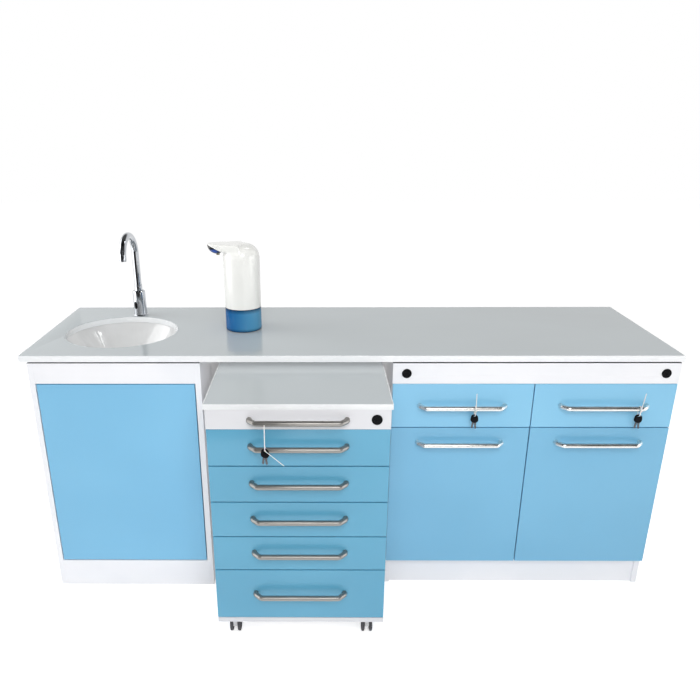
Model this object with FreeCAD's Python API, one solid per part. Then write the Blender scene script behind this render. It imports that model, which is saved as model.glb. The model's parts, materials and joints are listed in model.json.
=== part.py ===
"""Dental treatment-room cabinet run: a worktop over a sink cabinet and a storage
cabinet, with a mobile drawer pedestal rolled half out of the bay between them.

Millimetres. +X runs to the right along the worktop, +Y to the wall, +Z up. The origin
is on the floor, half way along the worktop and half way from the wall plane to the
tie in front of the pedestal's keys, the front-most thing.
"""
import FreeCAD, Part
import math
import os

V = FreeCAD.Vector

# ---- Driving sizes: the run of furniture ---------------------------------------------
worktop_depth = 600.0
worktop_height = 850.0
left_overhang = 24.0            # worktop past the sink cabinet
sink_cabinet_width = 540.0
bay_width = 600.0               # room for the pedestal
storage_cabinet_width = 890.0
right_overhang = 6.0            # worktop past the storage cabinet
pull_out = 290.0                # pedestal fronts ahead of the worktop's front edge

# ---- Driving sizes: worktops and panels ----------------------------------------------
glass_thickness = 5.0
board_thickness = 15.0          # board under the worktop's glass
pedestal_board_thickness = 11.0
edging_width = 3.0              # white strip round board and glass
glass_fit = 0.2
spacer_thickness = 4.0          # packers that leave the shadow gap over each cabinet
spacer_setback = 30.0
panel = 18.0
back_thickness = 8.0
front_thickness = 18.0
front_setback = 2.0             # fronts behind the worktop's front edge
front_gap = 3.0                 # joint between neighbouring fronts
front_standoff = 0.4            # closed front to carcass edge
rail_width = 80.0               # flat rails that tie the sides together at the top
plinth_height = 100.0
plinth_setback = 8.0
apron_height = 68.0             # white band over the fronts, both cabinets

# ---- Driving sizes: storage cabinet ---------------------------------------------------
storage_drawer_pitch = 150.0
shelf_height = 250.0            # shelf over the cabinet floor
shelf_thickness = 18.0
shelf_setback = 30.0
shelf_side_fit = 1.0
shelf_pin_radius = 2.5
shelf_pin_length = 12.0
shelf_pin_inset = 60.0

# ---- Driving sizes: pedestal ----------------------------------------------------------
pedestal_side_room = 45.0       # bay wall to pedestal side, when centred
pedestal_offset = 13.0          # pedestal stands right of the bay's centre
pedestal_headroom = 20.0        # worktop underside to pedestal top
pedestal_depth = 500.0
pedestal_top_overhang = 5.0
pedestal_apron_height = 58.0
pedestal_apron_proud = 4.0      # apron ahead of the drawer fronts
pedestal_drawer_pitch = 116.0   # four equal drawers; the lowest takes what is left
pedestal_small_drawers = 4
pedestal_floor_thickness = 16.0
caster_height = 80.0

# ---- Driving sizes: drawer boxes and runners ------------------------------------------
drawer_wall = 12.0
drawer_floor = 6.0
drawer_rise = 12.0              # box bottom over the front's lower edge
drawer_headroom = 26.0          # box top under the front's upper edge
drawer_length = 450.0
runner_height = 35.0
runner_rise = 10.0              # runner over the box bottom
runner_setback = 22.0           # runner behind the front's inner face
fixed_runner = 6.0
moving_runner = 6.0
runner_gap = 0.4

# ---- Driving sizes: bow handles -------------------------------------------------------
handle_radius = 8.0
handle_spacing = 268.0          # foot to foot, on centres
handle_grip = 232.0             # straight middle length, between its corners
handle_projection = 36.0
handle_foot = 9.0               # straight run out of the front
handle_bend = 12.0
handle_lift = 6.0               # pedestal handles over the middle of their fronts
door_handle_drop = 51.0         # door handles under the door's top edge

# ---- Driving sizes: locks -------------------------------------------------------------
lock_inset = 43.0               # lock centre from the cabinet's side
pedestal_lock_inset = 39.0
lock_face_radius = 15.0
lock_face_thickness = 2.5
lock_barrel_radius = 10.0
lock_barrel_reach = 3.0         # barrel past the back of the apron
lock_core_radius = 8.0
lock_bore_fit = 0.1             # barrel in the apron, radially
lock_running_fit = 0.05         # core in the barrel, radially
keyway_width = 1.8
keyway_height = 9.0
keyway_depth = 6.0
cam_thickness = 3.0
cam_width = 14.0
cam_length = 46.0
striker_width = 20.0
striker_thickness = 3.0
striker_clearance = 1.5
striker_gap = 4.0               # striker top under the drawer front's top edge
bar_arm_width = 6.0
bar_arm_length = 12.0           # equals the lock bar's drop
lock_bar_thickness = 5.0
lock_bar_width = 5.4
lock_bar_fit = 0.4              # bar to the side panel and to the lock's barrel
lock_tab_height = 8.0
lock_tab_clearance = 2.0        # raised tab over its catch
lock_catch_clearance = 1.0      # lowered tab ahead of its catch
bar_ear_height = 6.0
bar_ear_clearance = 0.3

# ---- Driving sizes: keys on nylon ties ------------------------------------------------
tie_width = 2.6
tie_thickness = 1.2
tie_clearance = 0.5             # tie round the handle bar, radially
tie_drop = 15.0                 # storage loops: centre of the lower bend under the bar's axis
tie_head = 5.0
storage_tie_end = V(-9.0, -30.0, 67.0)   # free end of a storage tie, from its head
tight_head_turn = 40.0          # pedestal tie's head, degrees up round the bar
tight_tie_end = V(52.0, 0.0, -46.0)     # hanging end of the pedestal tie
riser_gap = 0.5                 # standing end of the pedestal tie to the pull handle
key_bow_radius = 10.0           # half the bow's width
key_bow_height = 27.0
key_bow_thickness = 3.2
key_hole_width = 8.0
key_hole_height = 5.0
key_hole_rim = 2.6
key_seat = 0.95                 # key hole over the tie's inner bottom
key_gap = 0.3                   # between keys, and to what they lean on
key_fan = 7.0                   # degrees that each key leans out sideways
blade_width = 7.0
blade_thickness = 2.2
blade_length = 20.0
left_key_offset = 36.0          # from the handle's centre
right_key_offset = 103.0
pedestal_key_offset = -90.0

# ---- Driving sizes: hinges ------------------------------------------------------------
hinge_plate_thickness = 12.0
hinge_plate_width = 16.0
hinge_plate_length = 60.0
hinge_inset = 90.0              # from the door's top and bottom edges
hinge_fit = 0.4

# ---- Driving sizes: sink, waste and faucet --------------------------------------------
sink_radius = 188.0             # cut-out in the worktop
sink_from_front = 270.0
sink_shift = -38.0              # from the sink cabinet's centre
basin_reveal = 2.0              # bowl mouth outside the cut-out
basin_wall = 8.0
basin_flange = 18.0
basin_flange_thickness = 10.0
basin_depth = 150.0
basin_floor_radius = 66.0
basin_corner = 70.0
drain_radius = 22.0
drain_cap_radius = 31.0
drain_cap_thickness = 3.0
drain_cap_slot = 5.0
waste_fit = 0.3
waste_pipe_radius = 16.0
waste_pipe_wall = 2.0
waste_tail_length = 110.0
trap_radius = 32.0
trap_height = 80.0
trap_outlet_drop = 24.0         # outlet under the trap's top
outlet_nut_radius = 22.0        # nut that holds the outlet pipe on the trap
outlet_nut_length = 14.0
waste_end_gap = 4.0             # pipe end inside the wall plane
service_slot_height = 130.0     # opening in the sink cabinet's back
faucet_gap = 4.0                # flange from the sink's cut-out
faucet_shift = 12.0             # right of the sink's centre
faucet_flange_radius = 27.0
faucet_flange_thickness = 4.0
faucet_body_radius = 24.0
faucet_body_height = 94.0
faucet_bore_fit = 0.1
faucet_spigot_radius = 10.0     # spout's foot inside the body
faucet_spigot_length = 30.0
faucet_collar_radius = 14.0
faucet_collar_height = 22.0
spout_radius = 12.5
spout_bore = 9.5
spout_reach = 140.0
spout_top = 314.0               # over the worktop
spout_outlet = 226.0            # over the worktop
aerator_length = 6.0
sensor_window_width = 9.0
sensor_window_height = 28.0
sensor_window_depth = 3.0
sensor_window_rise = 26.0
sensor_turn = -25.0             # degrees round the body from straight ahead
faucet_shank_radius = 14.0
faucet_shank_length = 50.0
faucet_hole_radius = 17.5
faucet_nut_radius = 20.0
faucet_nut_thickness = 8.0
faucet_nut_clearance = 0.3      # nut to the notch in the basin's flange
inlet_radius = 10.48            # G 1/2 tail
inlet_length = 18.0

# ---- Driving sizes: casters -----------------------------------------------------------
caster_inset_x = 46.0
caster_inset_y = 45.0
caster_trail = 20.0
wheel_radius = 30.0
wheel_width = 10.5
wheel_gap = 13.0                # hub plate between the two wheels
wheel_clearance = 0.4
axle_radius = 4.0
axle_fit = 0.06
caster_stem_radius = 5.5
caster_stem_length = 14.0
caster_turntable_radius = 20.0
caster_turntable_thickness = 8.0
caster_headroom = 0.3           # turntable under the cabinet floor
caster_hub_radius = 14.0
caster_neck_depth = 26.0

# ---- Driving sizes: soap dispenser ----------------------------------------------------
dispenser_x_from_left = 672.0   # from the worktop's left end
dispenser_from_front = 311.0
dispenser_radius = 62.0
dispenser_height = 294.0
dispenser_crown = 45.0          # rounding at the top edge
dispenser_wall = 3.0
tank_height = 79.0
tank_fit = 0.3
tank_neck_radius = 30.0
tank_neck_height = 18.0
arm_width = 58.0                # across the round tip
arm_root_width = 112.0          # where it runs into the body
arm_thickness = 26.0
arm_reach = 113.0               # tip from the body's centre
arm_tip_thickness = 4.0
beak_length = 56.0              # stretch of the arm whose underside slopes up to the tip
lens_radius = 27.0              # round sensor lens under the beak
lens_height = 18.0
nozzle_radius = 6.0
nozzle_reach = 39.0             # nozzle's mouth under the top
nozzle_inset = 35.0             # from the tip
pump_radius = 24.0
pump_length = 60.0
pump_tube_radius = 4.0

# ---- Worked-out places ----------------------------------------------------------------
worktop_length = (left_overhang + sink_cabinet_width + bay_width
                  + storage_cabinet_width + right_overhang)
tie_inner = handle_radius + tie_clearance
tie_outer = tie_inner + tie_thickness
tight_turn = math.radians(tight_head_turn)
tight_head_reach = ((tie_outer + tie_head) * math.cos(tight_turn)
                    + tie_head / 2 * math.sin(tight_turn))
tight_keys_front = tight_head_reach + 2 * (key_gap + key_bow_thickness)
overall_depth = (worktop_depth + pull_out + handle_projection - handle_radius
                 + tight_keys_front + key_gap + tie_thickness)
wall_y = overall_depth / 2
edge_y = wall_y - worktop_depth
left_end = -worktop_length / 2
right_end = worktop_length / 2
top_thickness = glass_thickness + board_thickness
worktop_underside = worktop_height - top_thickness
carcass_top = worktop_underside - spacer_thickness

fronts_y = edge_y + front_setback
carcass_y = fronts_y + front_thickness + front_standoff
sink_left = left_end + left_overhang
sink_right = sink_left + sink_cabinet_width
storage_left = sink_right + bay_width
storage_right = storage_left + storage_cabinet_width
storage_middle = (storage_left + storage_right) / 2
apron_bottom = carcass_top - apron_height
doors_top = apron_bottom - storage_drawer_pitch

pedestal_width = bay_width - 2 * pedestal_side_room
pedestal_middle = (sink_right + storage_left) / 2 + pedestal_offset
pedestal_left = pedestal_middle - pedestal_width / 2
pedestal_right = pedestal_middle + pedestal_width / 2
pedestal_top = worktop_underside - pedestal_headroom
pedestal_slab = glass_thickness + pedestal_board_thickness
pedestal_carcass_top = pedestal_top - pedestal_slab
pedestal_apron_bottom = pedestal_carcass_top - pedestal_apron_height
pedestal_floor_top = caster_height + pedestal_floor_thickness
pedestal_front_y = edge_y - pull_out
pedestal_back_y = pedestal_front_y + pedestal_depth
pedestal_carcass_y = pedestal_front_y + front_thickness + front_standoff

drawer_side_room = fixed_runner + runner_gap + moving_runner
sink_x = (sink_left + sink_right) / 2 + sink_shift
sink_y = edge_y + sink_from_front
faucet_x = sink_x + faucet_shift
faucet_y = sink_y + sink_radius + faucet_gap + faucet_flange_radius
dispenser_x = left_end + dispenser_x_from_left
dispenser_y = edge_y + dispenser_from_front

NODES = {}


# ---- Helpers --------------------------------------------------------------------------
def block(x0, x1, y0, y1, z0, z1):
    """Solid block between two corners."""
    return Part.makeBox(x1 - x0, y1 - y0, z1 - z0, V(x0, y0, z0))


def rod(start, end, radius):
    """Round bar from start to end."""
    along = end - start
    return Part.makeCylinder(radius, along.Length, start, along)


def disc(x, y, z, radius, height):
    """Upright cylinder on its lower face."""
    return Part.makeCylinder(radius, height, V(x, y, z))


def rounded_wire(points, radius):
    """Straight runs through the points, joined by tangent arcs."""
    edges = []
    last = points[0]
    for before, corner, after in zip(points, points[1:], points[2:]):
        back = (before - corner).normalize()
        ahead = (after - corner).normalize()
        half = back.getAngle(ahead) / 2
        reach = radius / math.tan(half)
        inward = (back + ahead).normalize()
        begin = corner + back * reach
        middle = corner + inward * (radius / math.sin(half) - radius)
        end = corner + ahead * reach
        if (begin - last).Length > 1e-6:
            edges.append(Part.LineSegment(last, begin).toShape())
        edges.append(Part.Arc(begin, middle, end).toShape())
        last = end
    if (points[-1] - last).Length > 1e-6:
        edges.append(Part.LineSegment(last, points[-1]).toShape())
    return Part.Wire(edges)


def bent_bar(points, bend, radius):
    """Round bar along a rounded wire."""
    wire = rounded_wire(points, bend)
    section = Part.Wire(Part.makeCircle(radius, points[0], points[1] - points[0]))
    return wire.makePipeShell([section], True, False)


def revolved(x, y, outline):
    """Full turn of (radius, z) points about the upright line at x, y."""
    corners = [V(x + r, y, z) for r, z in outline]
    face = Part.Face(Part.makePolygon(corners + corners[:1]))
    return face.revolve(V(x, y, 0), V(0, 0, 1), 360)


def add(name, solids):
    """Keep a node as one or more separate solids."""
    NODES[name] = list(solids)


# ---- Worktop --------------------------------------------------------------------------
def worktop_parts():
    """White board with white edging strips, and the glass sheet they frame."""
    mid = worktop_height - glass_thickness
    inner_left = left_end + edging_width
    inner_right = right_end - edging_width
    inner_front = edge_y + edging_width
    inner_back = wall_y - edging_width
    ring_radius = sink_radius + edging_width
    ring = disc(sink_x, sink_y, worktop_underside, ring_radius, top_thickness)
    ring = ring.cut(disc(sink_x, sink_y, worktop_underside, sink_radius, top_thickness))
    opening = disc(sink_x, sink_y, worktop_underside, ring_radius, top_thickness)
    tap_hole = disc(faucet_x, faucet_y, worktop_underside, faucet_hole_radius, top_thickness)
    board = block(inner_left, inner_right, inner_front, inner_back, worktop_underside, mid)
    board = board.cut(opening).cut(tap_hole)
    strips = [
        block(left_end, right_end, edge_y, inner_front, worktop_underside, worktop_height),
        block(left_end, right_end, inner_back, wall_y, worktop_underside, worktop_height),
        block(left_end, inner_left, inner_front, inner_back, worktop_underside, worktop_height),
        block(inner_right, right_end, inner_front, inner_back, worktop_underside, worktop_height),
    ]
    add("worktop_board", [board, ring] + strips)
    glass = block(inner_left + glass_fit, inner_right - glass_fit, inner_front + glass_fit,
                  inner_back - glass_fit, mid, worktop_height)
    glass_hole = disc(sink_x, sink_y, mid, ring_radius + glass_fit, glass_thickness)
    add("worktop_glass", [glass.cut(glass_hole).cut(tap_hole)])


# ---- Sink, waste and faucet -----------------------------------------------------------
def bowl_face(mouth, floor_radius, top, bottom, corner):
    """Half section of a rounded bowl, filled from its wall in to the centre line."""
    points = [V(sink_x + mouth, sink_y, top), V(sink_x + floor_radius, sink_y, bottom),
              V(sink_x, sink_y, bottom)]
    wall = rounded_wire(points, corner)
    lid = Part.makePolygon([points[2], V(sink_x, sink_y, top), points[0]])
    return Part.Face(Part.Wire(wall.Edges + lid.Edges))


def sink_basin():
    """Round undermount basin hung by its flange from the board."""
    mouth = sink_radius + basin_reveal
    top = worktop_underside
    bottom = top - basin_depth
    inside = bowl_face(mouth, basin_floor_radius, top, bottom, basin_corner)
    outside = bowl_face(mouth + basin_wall, basin_floor_radius + basin_wall, top,
                        bottom - basin_wall, basin_corner + basin_wall)
    turn = (V(sink_x, sink_y, 0), V(0, 0, 1), 360)
    flange = disc(sink_x, sink_y, top - basin_flange_thickness, mouth + basin_flange,
                  basin_flange_thickness)
    flange = flange.cut(disc(faucet_x, faucet_y, top - basin_flange_thickness,
                             faucet_nut_radius + faucet_nut_clearance, basin_flange_thickness))
    bowl = outside.revolve(*turn).fuse(flange).cut(inside.revolve(*turn))
    drain = disc(sink_x, sink_y, bottom - basin_wall, drain_radius, basin_wall)
    add("sink_basin", [bowl.cut(drain)])
    return bottom


def sink_waste(basin_bottom):
    """Slotted drain cap, tail pipe, bottle trap and outlet pipe to the wall."""
    cap = disc(sink_x, sink_y, basin_bottom, drain_cap_radius, drain_cap_thickness)
    slot_length = drain_radius
    for turn in (0, 90):
        slot = block(-slot_length / 2, slot_length / 2, -drain_cap_slot / 2, drain_cap_slot / 2,
                     0, drain_cap_thickness)
        slot.rotate(V(0, 0, 0), V(0, 0, 1), turn)
        slot.translate(V(sink_x, sink_y, basin_bottom))
        cap = cap.cut(slot)
    tail_bottom = basin_bottom - waste_tail_length
    bore = waste_pipe_radius - waste_pipe_wall
    collar_bottom = basin_bottom - basin_wall - drain_cap_thickness
    tail = revolved(sink_x, sink_y, [
        (bore, tail_bottom), (waste_pipe_radius, tail_bottom),
        (waste_pipe_radius, collar_bottom), (drain_cap_radius, collar_bottom),
        (drain_cap_radius, collar_bottom + drain_cap_thickness),
        (drain_radius - waste_fit, collar_bottom + drain_cap_thickness),
        (drain_radius - waste_fit, basin_bottom), (bore, basin_bottom)])
    trap_top = tail_bottom
    trap_bottom = trap_top - trap_height
    trap = disc(sink_x, sink_y, trap_bottom, trap_radius, trap_height)
    trap = trap.cut(disc(sink_x, sink_y, trap_bottom + waste_pipe_wall,
                         trap_radius - waste_pipe_wall, trap_height - 2 * waste_pipe_wall))
    trap = trap.cut(disc(sink_x, sink_y, trap_bottom + waste_pipe_wall, bore, trap_height))
    outlet_z = trap_top - trap_outlet_drop
    outlet_start = V(sink_x, sink_y + trap_radius - waste_pipe_wall, outlet_z)
    outlet_end = V(sink_x, wall_y - waste_end_gap, outlet_z)
    pipe = rod(outlet_start, outlet_end, waste_pipe_radius)
    pipe = pipe.cut(disc(sink_x, sink_y, trap_bottom, trap_radius, trap_height))
    nut_start = V(sink_x, sink_y + trap_radius, outlet_z)
    pipe = pipe.fuse(rod(nut_start, nut_start + V(0, outlet_nut_length, 0), outlet_nut_radius))
    trap = trap.cut(rod(V(sink_x, sink_y, outlet_z), outlet_end, bore))
    pipe = pipe.cut(rod(V(sink_x, sink_y, outlet_z), outlet_end, bore))
    add("sink_waste", [cap, tail, trap, pipe])
    return outlet_z


def faucet_base():
    """Round sensor-tap body with its window, shank, nut and threaded water inlet."""
    deck = worktop_height
    flange = disc(faucet_x, faucet_y, deck, faucet_flange_radius, faucet_flange_thickness)
    body = disc(faucet_x, faucet_y, deck, faucet_body_radius, faucet_body_height)
    shank_bottom = deck - faucet_shank_length
    shank = disc(faucet_x, faucet_y, shank_bottom, faucet_shank_radius, faucet_shank_length)
    body = body.fuse(flange).fuse(shank).removeSplitter()
    socket_depth = faucet_spigot_length + faucet_bore_fit
    body = body.cut(disc(faucet_x, faucet_y, deck + faucet_body_height - socket_depth,
                         faucet_spigot_radius + faucet_bore_fit, socket_depth))
    window_y = faucet_y - faucet_body_radius
    window_z = deck + sensor_window_rise
    half_width = sensor_window_width / 2
    straight = sensor_window_height - sensor_window_width
    window = block(faucet_x - half_width, faucet_x + half_width, window_y,
                   window_y + sensor_window_depth, window_z, window_z + straight)
    for end_z in (window_z, window_z + straight):
        window = window.fuse(Part.makeCylinder(half_width, sensor_window_depth,
                                               V(faucet_x, window_y, end_z), V(0, 1, 0)))
    window = window.removeSplitter()
    window.rotate(V(faucet_x, faucet_y, 0), V(0, 0, 1), sensor_turn)
    window = window.common(body)
    body = body.cut(window)
    nut = disc(faucet_x, faucet_y, worktop_underside - faucet_nut_thickness,
               faucet_nut_radius, faucet_nut_thickness)
    nut = nut.cut(disc(faucet_x, faucet_y, worktop_underside - faucet_nut_thickness,
                       faucet_shank_radius, faucet_nut_thickness))
    inlet = disc(faucet_x, faucet_y, shank_bottom - inlet_length, inlet_radius, inlet_length)
    add("faucet_base", [body, window, nut, inlet])


def faucet_spout():
    """Swivelling gooseneck: spigot and collar, bent tube and aerator."""
    deck = worktop_height
    body_top = deck + faucet_body_height
    towards = V(sink_x - faucet_x, sink_y - faucet_y, 0).normalize()
    arch = spout_reach / 2
    base = V(faucet_x, faucet_y, body_top)
    crown = deck + spout_top - spout_radius
    outlet = deck + spout_outlet + aerator_length
    far = base + towards * spout_reach
    points = [V(base.x, base.y, body_top), V(base.x, base.y, crown),
              V(far.x, far.y, crown), V(far.x, far.y, outlet)]
    tube = bent_bar(points, arch, spout_radius)
    hollow = bent_bar(points, arch, spout_bore)
    collar = disc(base.x, base.y, body_top, faucet_collar_radius, faucet_collar_height)
    spigot = disc(base.x, base.y, body_top - faucet_spigot_length, faucet_spigot_radius,
                  faucet_spigot_length)
    spout = tube.fuse(collar).cut(hollow).fuse(spigot)
    aerator = disc(far.x, far.y, outlet - aerator_length, spout_radius, aerator_length)
    aerator = aerator.cut(disc(far.x, far.y, outlet - aerator_length, spout_bore,
                               aerator_length / 2))
    add("faucet_spout", [spout, aerator])


# ---- Cabinets -------------------------------------------------------------------------
def spacers(left, right):
    """Packers on the side panels, under the worktop."""
    y0 = edge_y + spacer_setback
    y1 = wall_y - spacer_setback
    return [block(left, left + panel, y0, y1, carcass_top, worktop_underside),
            block(right - panel, right, y0, y1, carcass_top, worktop_underside)]


def sink_cabinet(outlet_z):
    """Carcass with flush side edges, top rail and plinth round the inset door."""
    left_in = sink_left + panel
    right_in = sink_right - panel
    back_y = wall_y - back_thickness
    rail_bottom = carcass_top - panel
    slot_bottom = outlet_z - service_slot_height / 2
    slot_top = outlet_z + service_slot_height / 2
    floor_top = plinth_height + panel
    add("sink_cabinet", [
        block(sink_left, left_in, fronts_y, wall_y, 0, carcass_top),
        block(right_in, sink_right, fronts_y, wall_y, 0, carcass_top),
        block(left_in, right_in, fronts_y, fronts_y + panel, apron_bottom, carcass_top),
        block(left_in, right_in, fronts_y, fronts_y + panel, 0, plinth_height),
        block(left_in, right_in, carcass_y, back_y, plinth_height, floor_top),
        block(left_in, right_in, back_y, wall_y, floor_top, slot_bottom),
        block(left_in, right_in, back_y, wall_y, slot_top, carcass_top),
        block(left_in, right_in, back_y - panel, back_y, rail_bottom - rail_width, rail_bottom),
        ] + spacers(sink_left, sink_right))


def shelf_pins():
    """Four short pegs that carry the shelf."""
    z = plinth_height + panel + shelf_height - shelf_pin_radius
    pins = []
    for y in (carcass_y + shelf_setback + shelf_pin_inset,
              wall_y - back_thickness - shelf_pin_inset):
        left = storage_left + panel
        right = storage_right - panel
        pins.append(rod(V(left, y, z), V(left + shelf_pin_length, y, z), shelf_pin_radius))
        pins.append(rod(V(right - shelf_pin_length, y, z), V(right, y, z), shelf_pin_radius))
    return pins


def storage_cabinet():
    """Carcass with a fixed deck under the drawers, a partition between them and an apron."""
    left_in = storage_left + panel
    right_in = storage_right - panel
    back_y = wall_y - back_thickness
    rail_bottom = carcass_top - panel
    floor_top = plinth_height + panel
    deck_bottom = doors_top - panel
    apron = block(storage_left, storage_right, fronts_y, fronts_y + front_thickness,
                  apron_bottom, carcass_top)
    for x in (storage_left + lock_inset, storage_right - lock_inset):
        apron = apron.cut(lock_bore(x, (apron_bottom + carcass_top) / 2, fronts_y))
    rail_y = fronts_y + front_thickness
    plinth_y = carcass_y + plinth_setback
    add("storage_cabinet", [
        block(storage_left, left_in, carcass_y, wall_y, 0, carcass_top),
        block(right_in, storage_right, carcass_y, wall_y, 0, carcass_top),
        apron,
        block(left_in, right_in, plinth_y, plinth_y + panel, 0, plinth_height),
        block(left_in, right_in, carcass_y, back_y, plinth_height, floor_top),
        block(left_in, right_in, back_y, wall_y, floor_top, carcass_top),
        block(left_in, right_in, carcass_y, back_y, deck_bottom, doors_top),
        block(storage_middle - panel / 2, storage_middle + panel / 2, carcass_y, back_y,
              doors_top, rail_bottom),
        block(left_in, right_in, rail_y, carcass_y + rail_width, rail_bottom, carcass_top),
        block(left_in, right_in, back_y - rail_width, back_y, rail_bottom, carcass_top),
        ] + spacers(storage_left, storage_right) + shelf_pins())
    shelf_bottom = floor_top + shelf_height
    add("storage_shelf", [block(
        left_in + shelf_side_fit, right_in - shelf_side_fit, carcass_y + shelf_setback,
        back_y - shelf_side_fit, shelf_bottom, shelf_bottom + shelf_thickness)])


def hinge_plates(side_x, inward, door_bottom, door_top, door_back):
    """Two hinge plates on a side panel, just behind the closed door."""
    x0, x1 = sorted((side_x, side_x + inward * hinge_plate_thickness))
    plates = []
    for z in (door_bottom + hinge_inset, door_top - hinge_inset):
        plates.append(block(x0, x1, door_back + hinge_fit, door_back + hinge_plate_length,
                            z - hinge_plate_width / 2, z + hinge_plate_width / 2))
    return plates


def doors():
    """The inset sink door and the two storage doors, with their hinge plates."""
    half = front_gap / 2
    back = fronts_y + front_thickness
    door_low = plinth_height + half
    sink_door_left = sink_left + panel + front_gap
    sink_door_right = sink_right - panel - front_gap
    sink_low = plinth_height + front_gap
    sink_high = apron_bottom - front_gap
    add("sink_door", [block(sink_door_left, sink_door_right, fronts_y, back, sink_low, sink_high)])
    high = doors_top - half
    add("storage_door_left", [block(storage_left + half, storage_middle - half, fronts_y, back,
                                    door_low, high)])
    add("storage_door_right", [block(storage_middle + half, storage_right - half, fronts_y,
                                     back, door_low, high)])
    handle_z = doors_top - door_handle_drop
    left_x = (storage_left + storage_middle) / 2
    right_x = (storage_middle + storage_right) / 2
    add("storage_door_left_handle", [bow_handle(left_x, fronts_y, handle_z)])
    add("storage_door_right_handle", [bow_handle(right_x, fronts_y, handle_z)])
    add("door_hinges",
        hinge_plates(sink_left + panel, 1, sink_low, sink_high, back)
        + hinge_plates(storage_left + panel, 1, door_low, high, carcass_y)
        + hinge_plates(storage_right - panel, -1, door_low, high, carcass_y))


def bow_handle(x, face_y, z):
    """Bent round bar with two feet, two slanting legs and a straight grip."""
    foot = handle_spacing / 2
    grip = handle_grip / 2
    out_y = face_y - handle_foot
    grip_y = face_y - handle_projection + handle_radius
    return bent_bar([V(x - foot, face_y, z), V(x - foot, out_y, z), V(x - grip, grip_y, z),
                     V(x + grip, grip_y, z), V(x + foot, out_y, z), V(x + foot, face_y, z)],
                    handle_bend, handle_radius)


# ---- Drawers --------------------------------------------------------------------------
def runner_spans(z0, face_y):
    """Runner's y and z limits for a box whose bottom is at z0."""
    y0 = face_y + front_thickness + runner_setback
    y1 = face_y + front_thickness + drawer_length
    return y0, y1, z0 + runner_rise, z0 + runner_rise + runner_height


def drawer_box(left, right, z0, z1, face_y):
    """Open box of separate panels with a moving runner on each side."""
    y0 = face_y + front_thickness
    y1 = y0 + drawer_length
    left_in = left + drawer_wall
    right_in = right - drawer_wall
    ry0, ry1, rz0, rz1 = runner_spans(z0, face_y)
    return [
        block(left, left_in, y0, y1, z0, z1),
        block(right_in, right, y0, y1, z0, z1),
        block(left_in, right_in, y0, y0 + drawer_wall, z0, z1),
        block(left_in, right_in, y1 - drawer_wall, y1, z0, z1),
        block(left_in, right_in, y0 + drawer_wall, y1 - drawer_wall, z0, z0 + drawer_floor),
        block(left - moving_runner, left, ry0, ry1, rz0, rz1),
        block(right, right + moving_runner, ry0, ry1, rz0, rz1)]


def drawer(name, bay, face, low, high, face_y, handle_z):
    """Front, box and handle of one drawer; returns its fixed runners and its box limits.

    bay is the inner width between carcass panels, face the front's width."""
    z0 = low + drawer_rise
    z1 = high - drawer_headroom
    left = bay[0] + drawer_side_room
    right = bay[1] - drawer_side_room
    add(name + "_front", [block(face[0], face[1], face_y, face_y + front_thickness, low, high)])
    add(name + "_box", drawer_box(left, right, z0, z1, face_y))
    add(name + "_handle", [bow_handle((face[0] + face[1]) / 2, face_y, handle_z)])
    ry0, ry1, rz0, rz1 = runner_spans(z0, face_y)
    runners = [block(bay[0], bay[0] + fixed_runner, ry0, ry1, rz0, rz1),
               block(bay[1] - fixed_runner, bay[1], ry0, ry1, rz0, rz1)]
    return runners, left, right, z0, z1


def storage_drawers():
    """Two drawers side by side, each with a striker for its lock's tongue."""
    half = front_gap / 2
    low = doors_top + half
    high = apron_bottom - half
    runners = []
    lanes = (("storage_drawer_left", storage_left, storage_middle, storage_left + lock_inset),
             ("storage_drawer_right", storage_middle, storage_right, storage_right - lock_inset))
    for name, left, right, lock_x in lanes:
        bay_left = left + (panel if left == storage_left else panel / 2)
        bay_right = right - (panel if right == storage_right else panel / 2)
        handle_z = (low + high) / 2 + half
        fixed, _, _, _, box_top = drawer(name, (bay_left, bay_right), (left + half, right - half),
                                         low, high, fronts_y, handle_z)
        runners += fixed
        cam_back = fronts_y + front_thickness + lock_barrel_reach + cam_thickness
        striker_y = cam_back + striker_clearance
        NODES[name + "_box"].append(block(
            lock_x - striker_width / 2, lock_x + striker_width / 2, striker_y,
            striker_y + striker_thickness, box_top, high - striker_gap))
    add("storage_drawer_rails", runners)


def pedestal_rows():
    """Lower and upper edge of each drawer front, from the top drawer down."""
    half = front_gap / 2
    rows = []
    top = pedestal_apron_bottom
    for _ in range(pedestal_small_drawers):
        rows.append((top - pedestal_drawer_pitch + half, top - half))
        top -= pedestal_drawer_pitch
    rows.append((pedestal_floor_top + half, top - half))
    return rows


def pedestal_drawers():
    """Five drawers; each box carries a catch for the lock bar beside it."""
    runners = []
    tabs = []
    bay = (pedestal_left + panel, pedestal_right - panel)
    bar_x0 = bay[1] - lock_bar_fit - lock_bar_width
    bar_y0 = pedestal_front_y + front_thickness + lock_barrel_reach + lock_bar_fit
    bar_y1 = bar_y0 + lock_bar_thickness
    catch_y0 = bar_y1 + lock_catch_clearance
    catch_y1 = catch_y0 + lock_bar_thickness
    for index, (low, high) in enumerate(pedestal_rows(), start=1):
        name = "pedestal_drawer_%d" % index
        handle_z = (low + high) / 2 + handle_lift
        fixed, _, box_right, _, box_top = drawer(name, bay, (pedestal_left, pedestal_right),
                                                 low, high, pedestal_front_y, handle_z)
        runners += fixed
        catch_top = box_top - lock_tab_height
        catch_side = bar_x0 - lock_catch_clearance
        NODES[name + "_box"].append(block(box_right, catch_side, catch_y0, catch_y1,
                                          catch_top - lock_tab_height, catch_top))
        tab_z = catch_top + lock_tab_clearance
        tabs.append(block(box_right + lock_catch_clearance, bar_x0, bar_y0, bar_y1,
                          tab_z, tab_z + lock_tab_height))
    add("pedestal_drawer_rails", runners)
    return tabs, bar_x0, bar_y0, bar_y1


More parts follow.
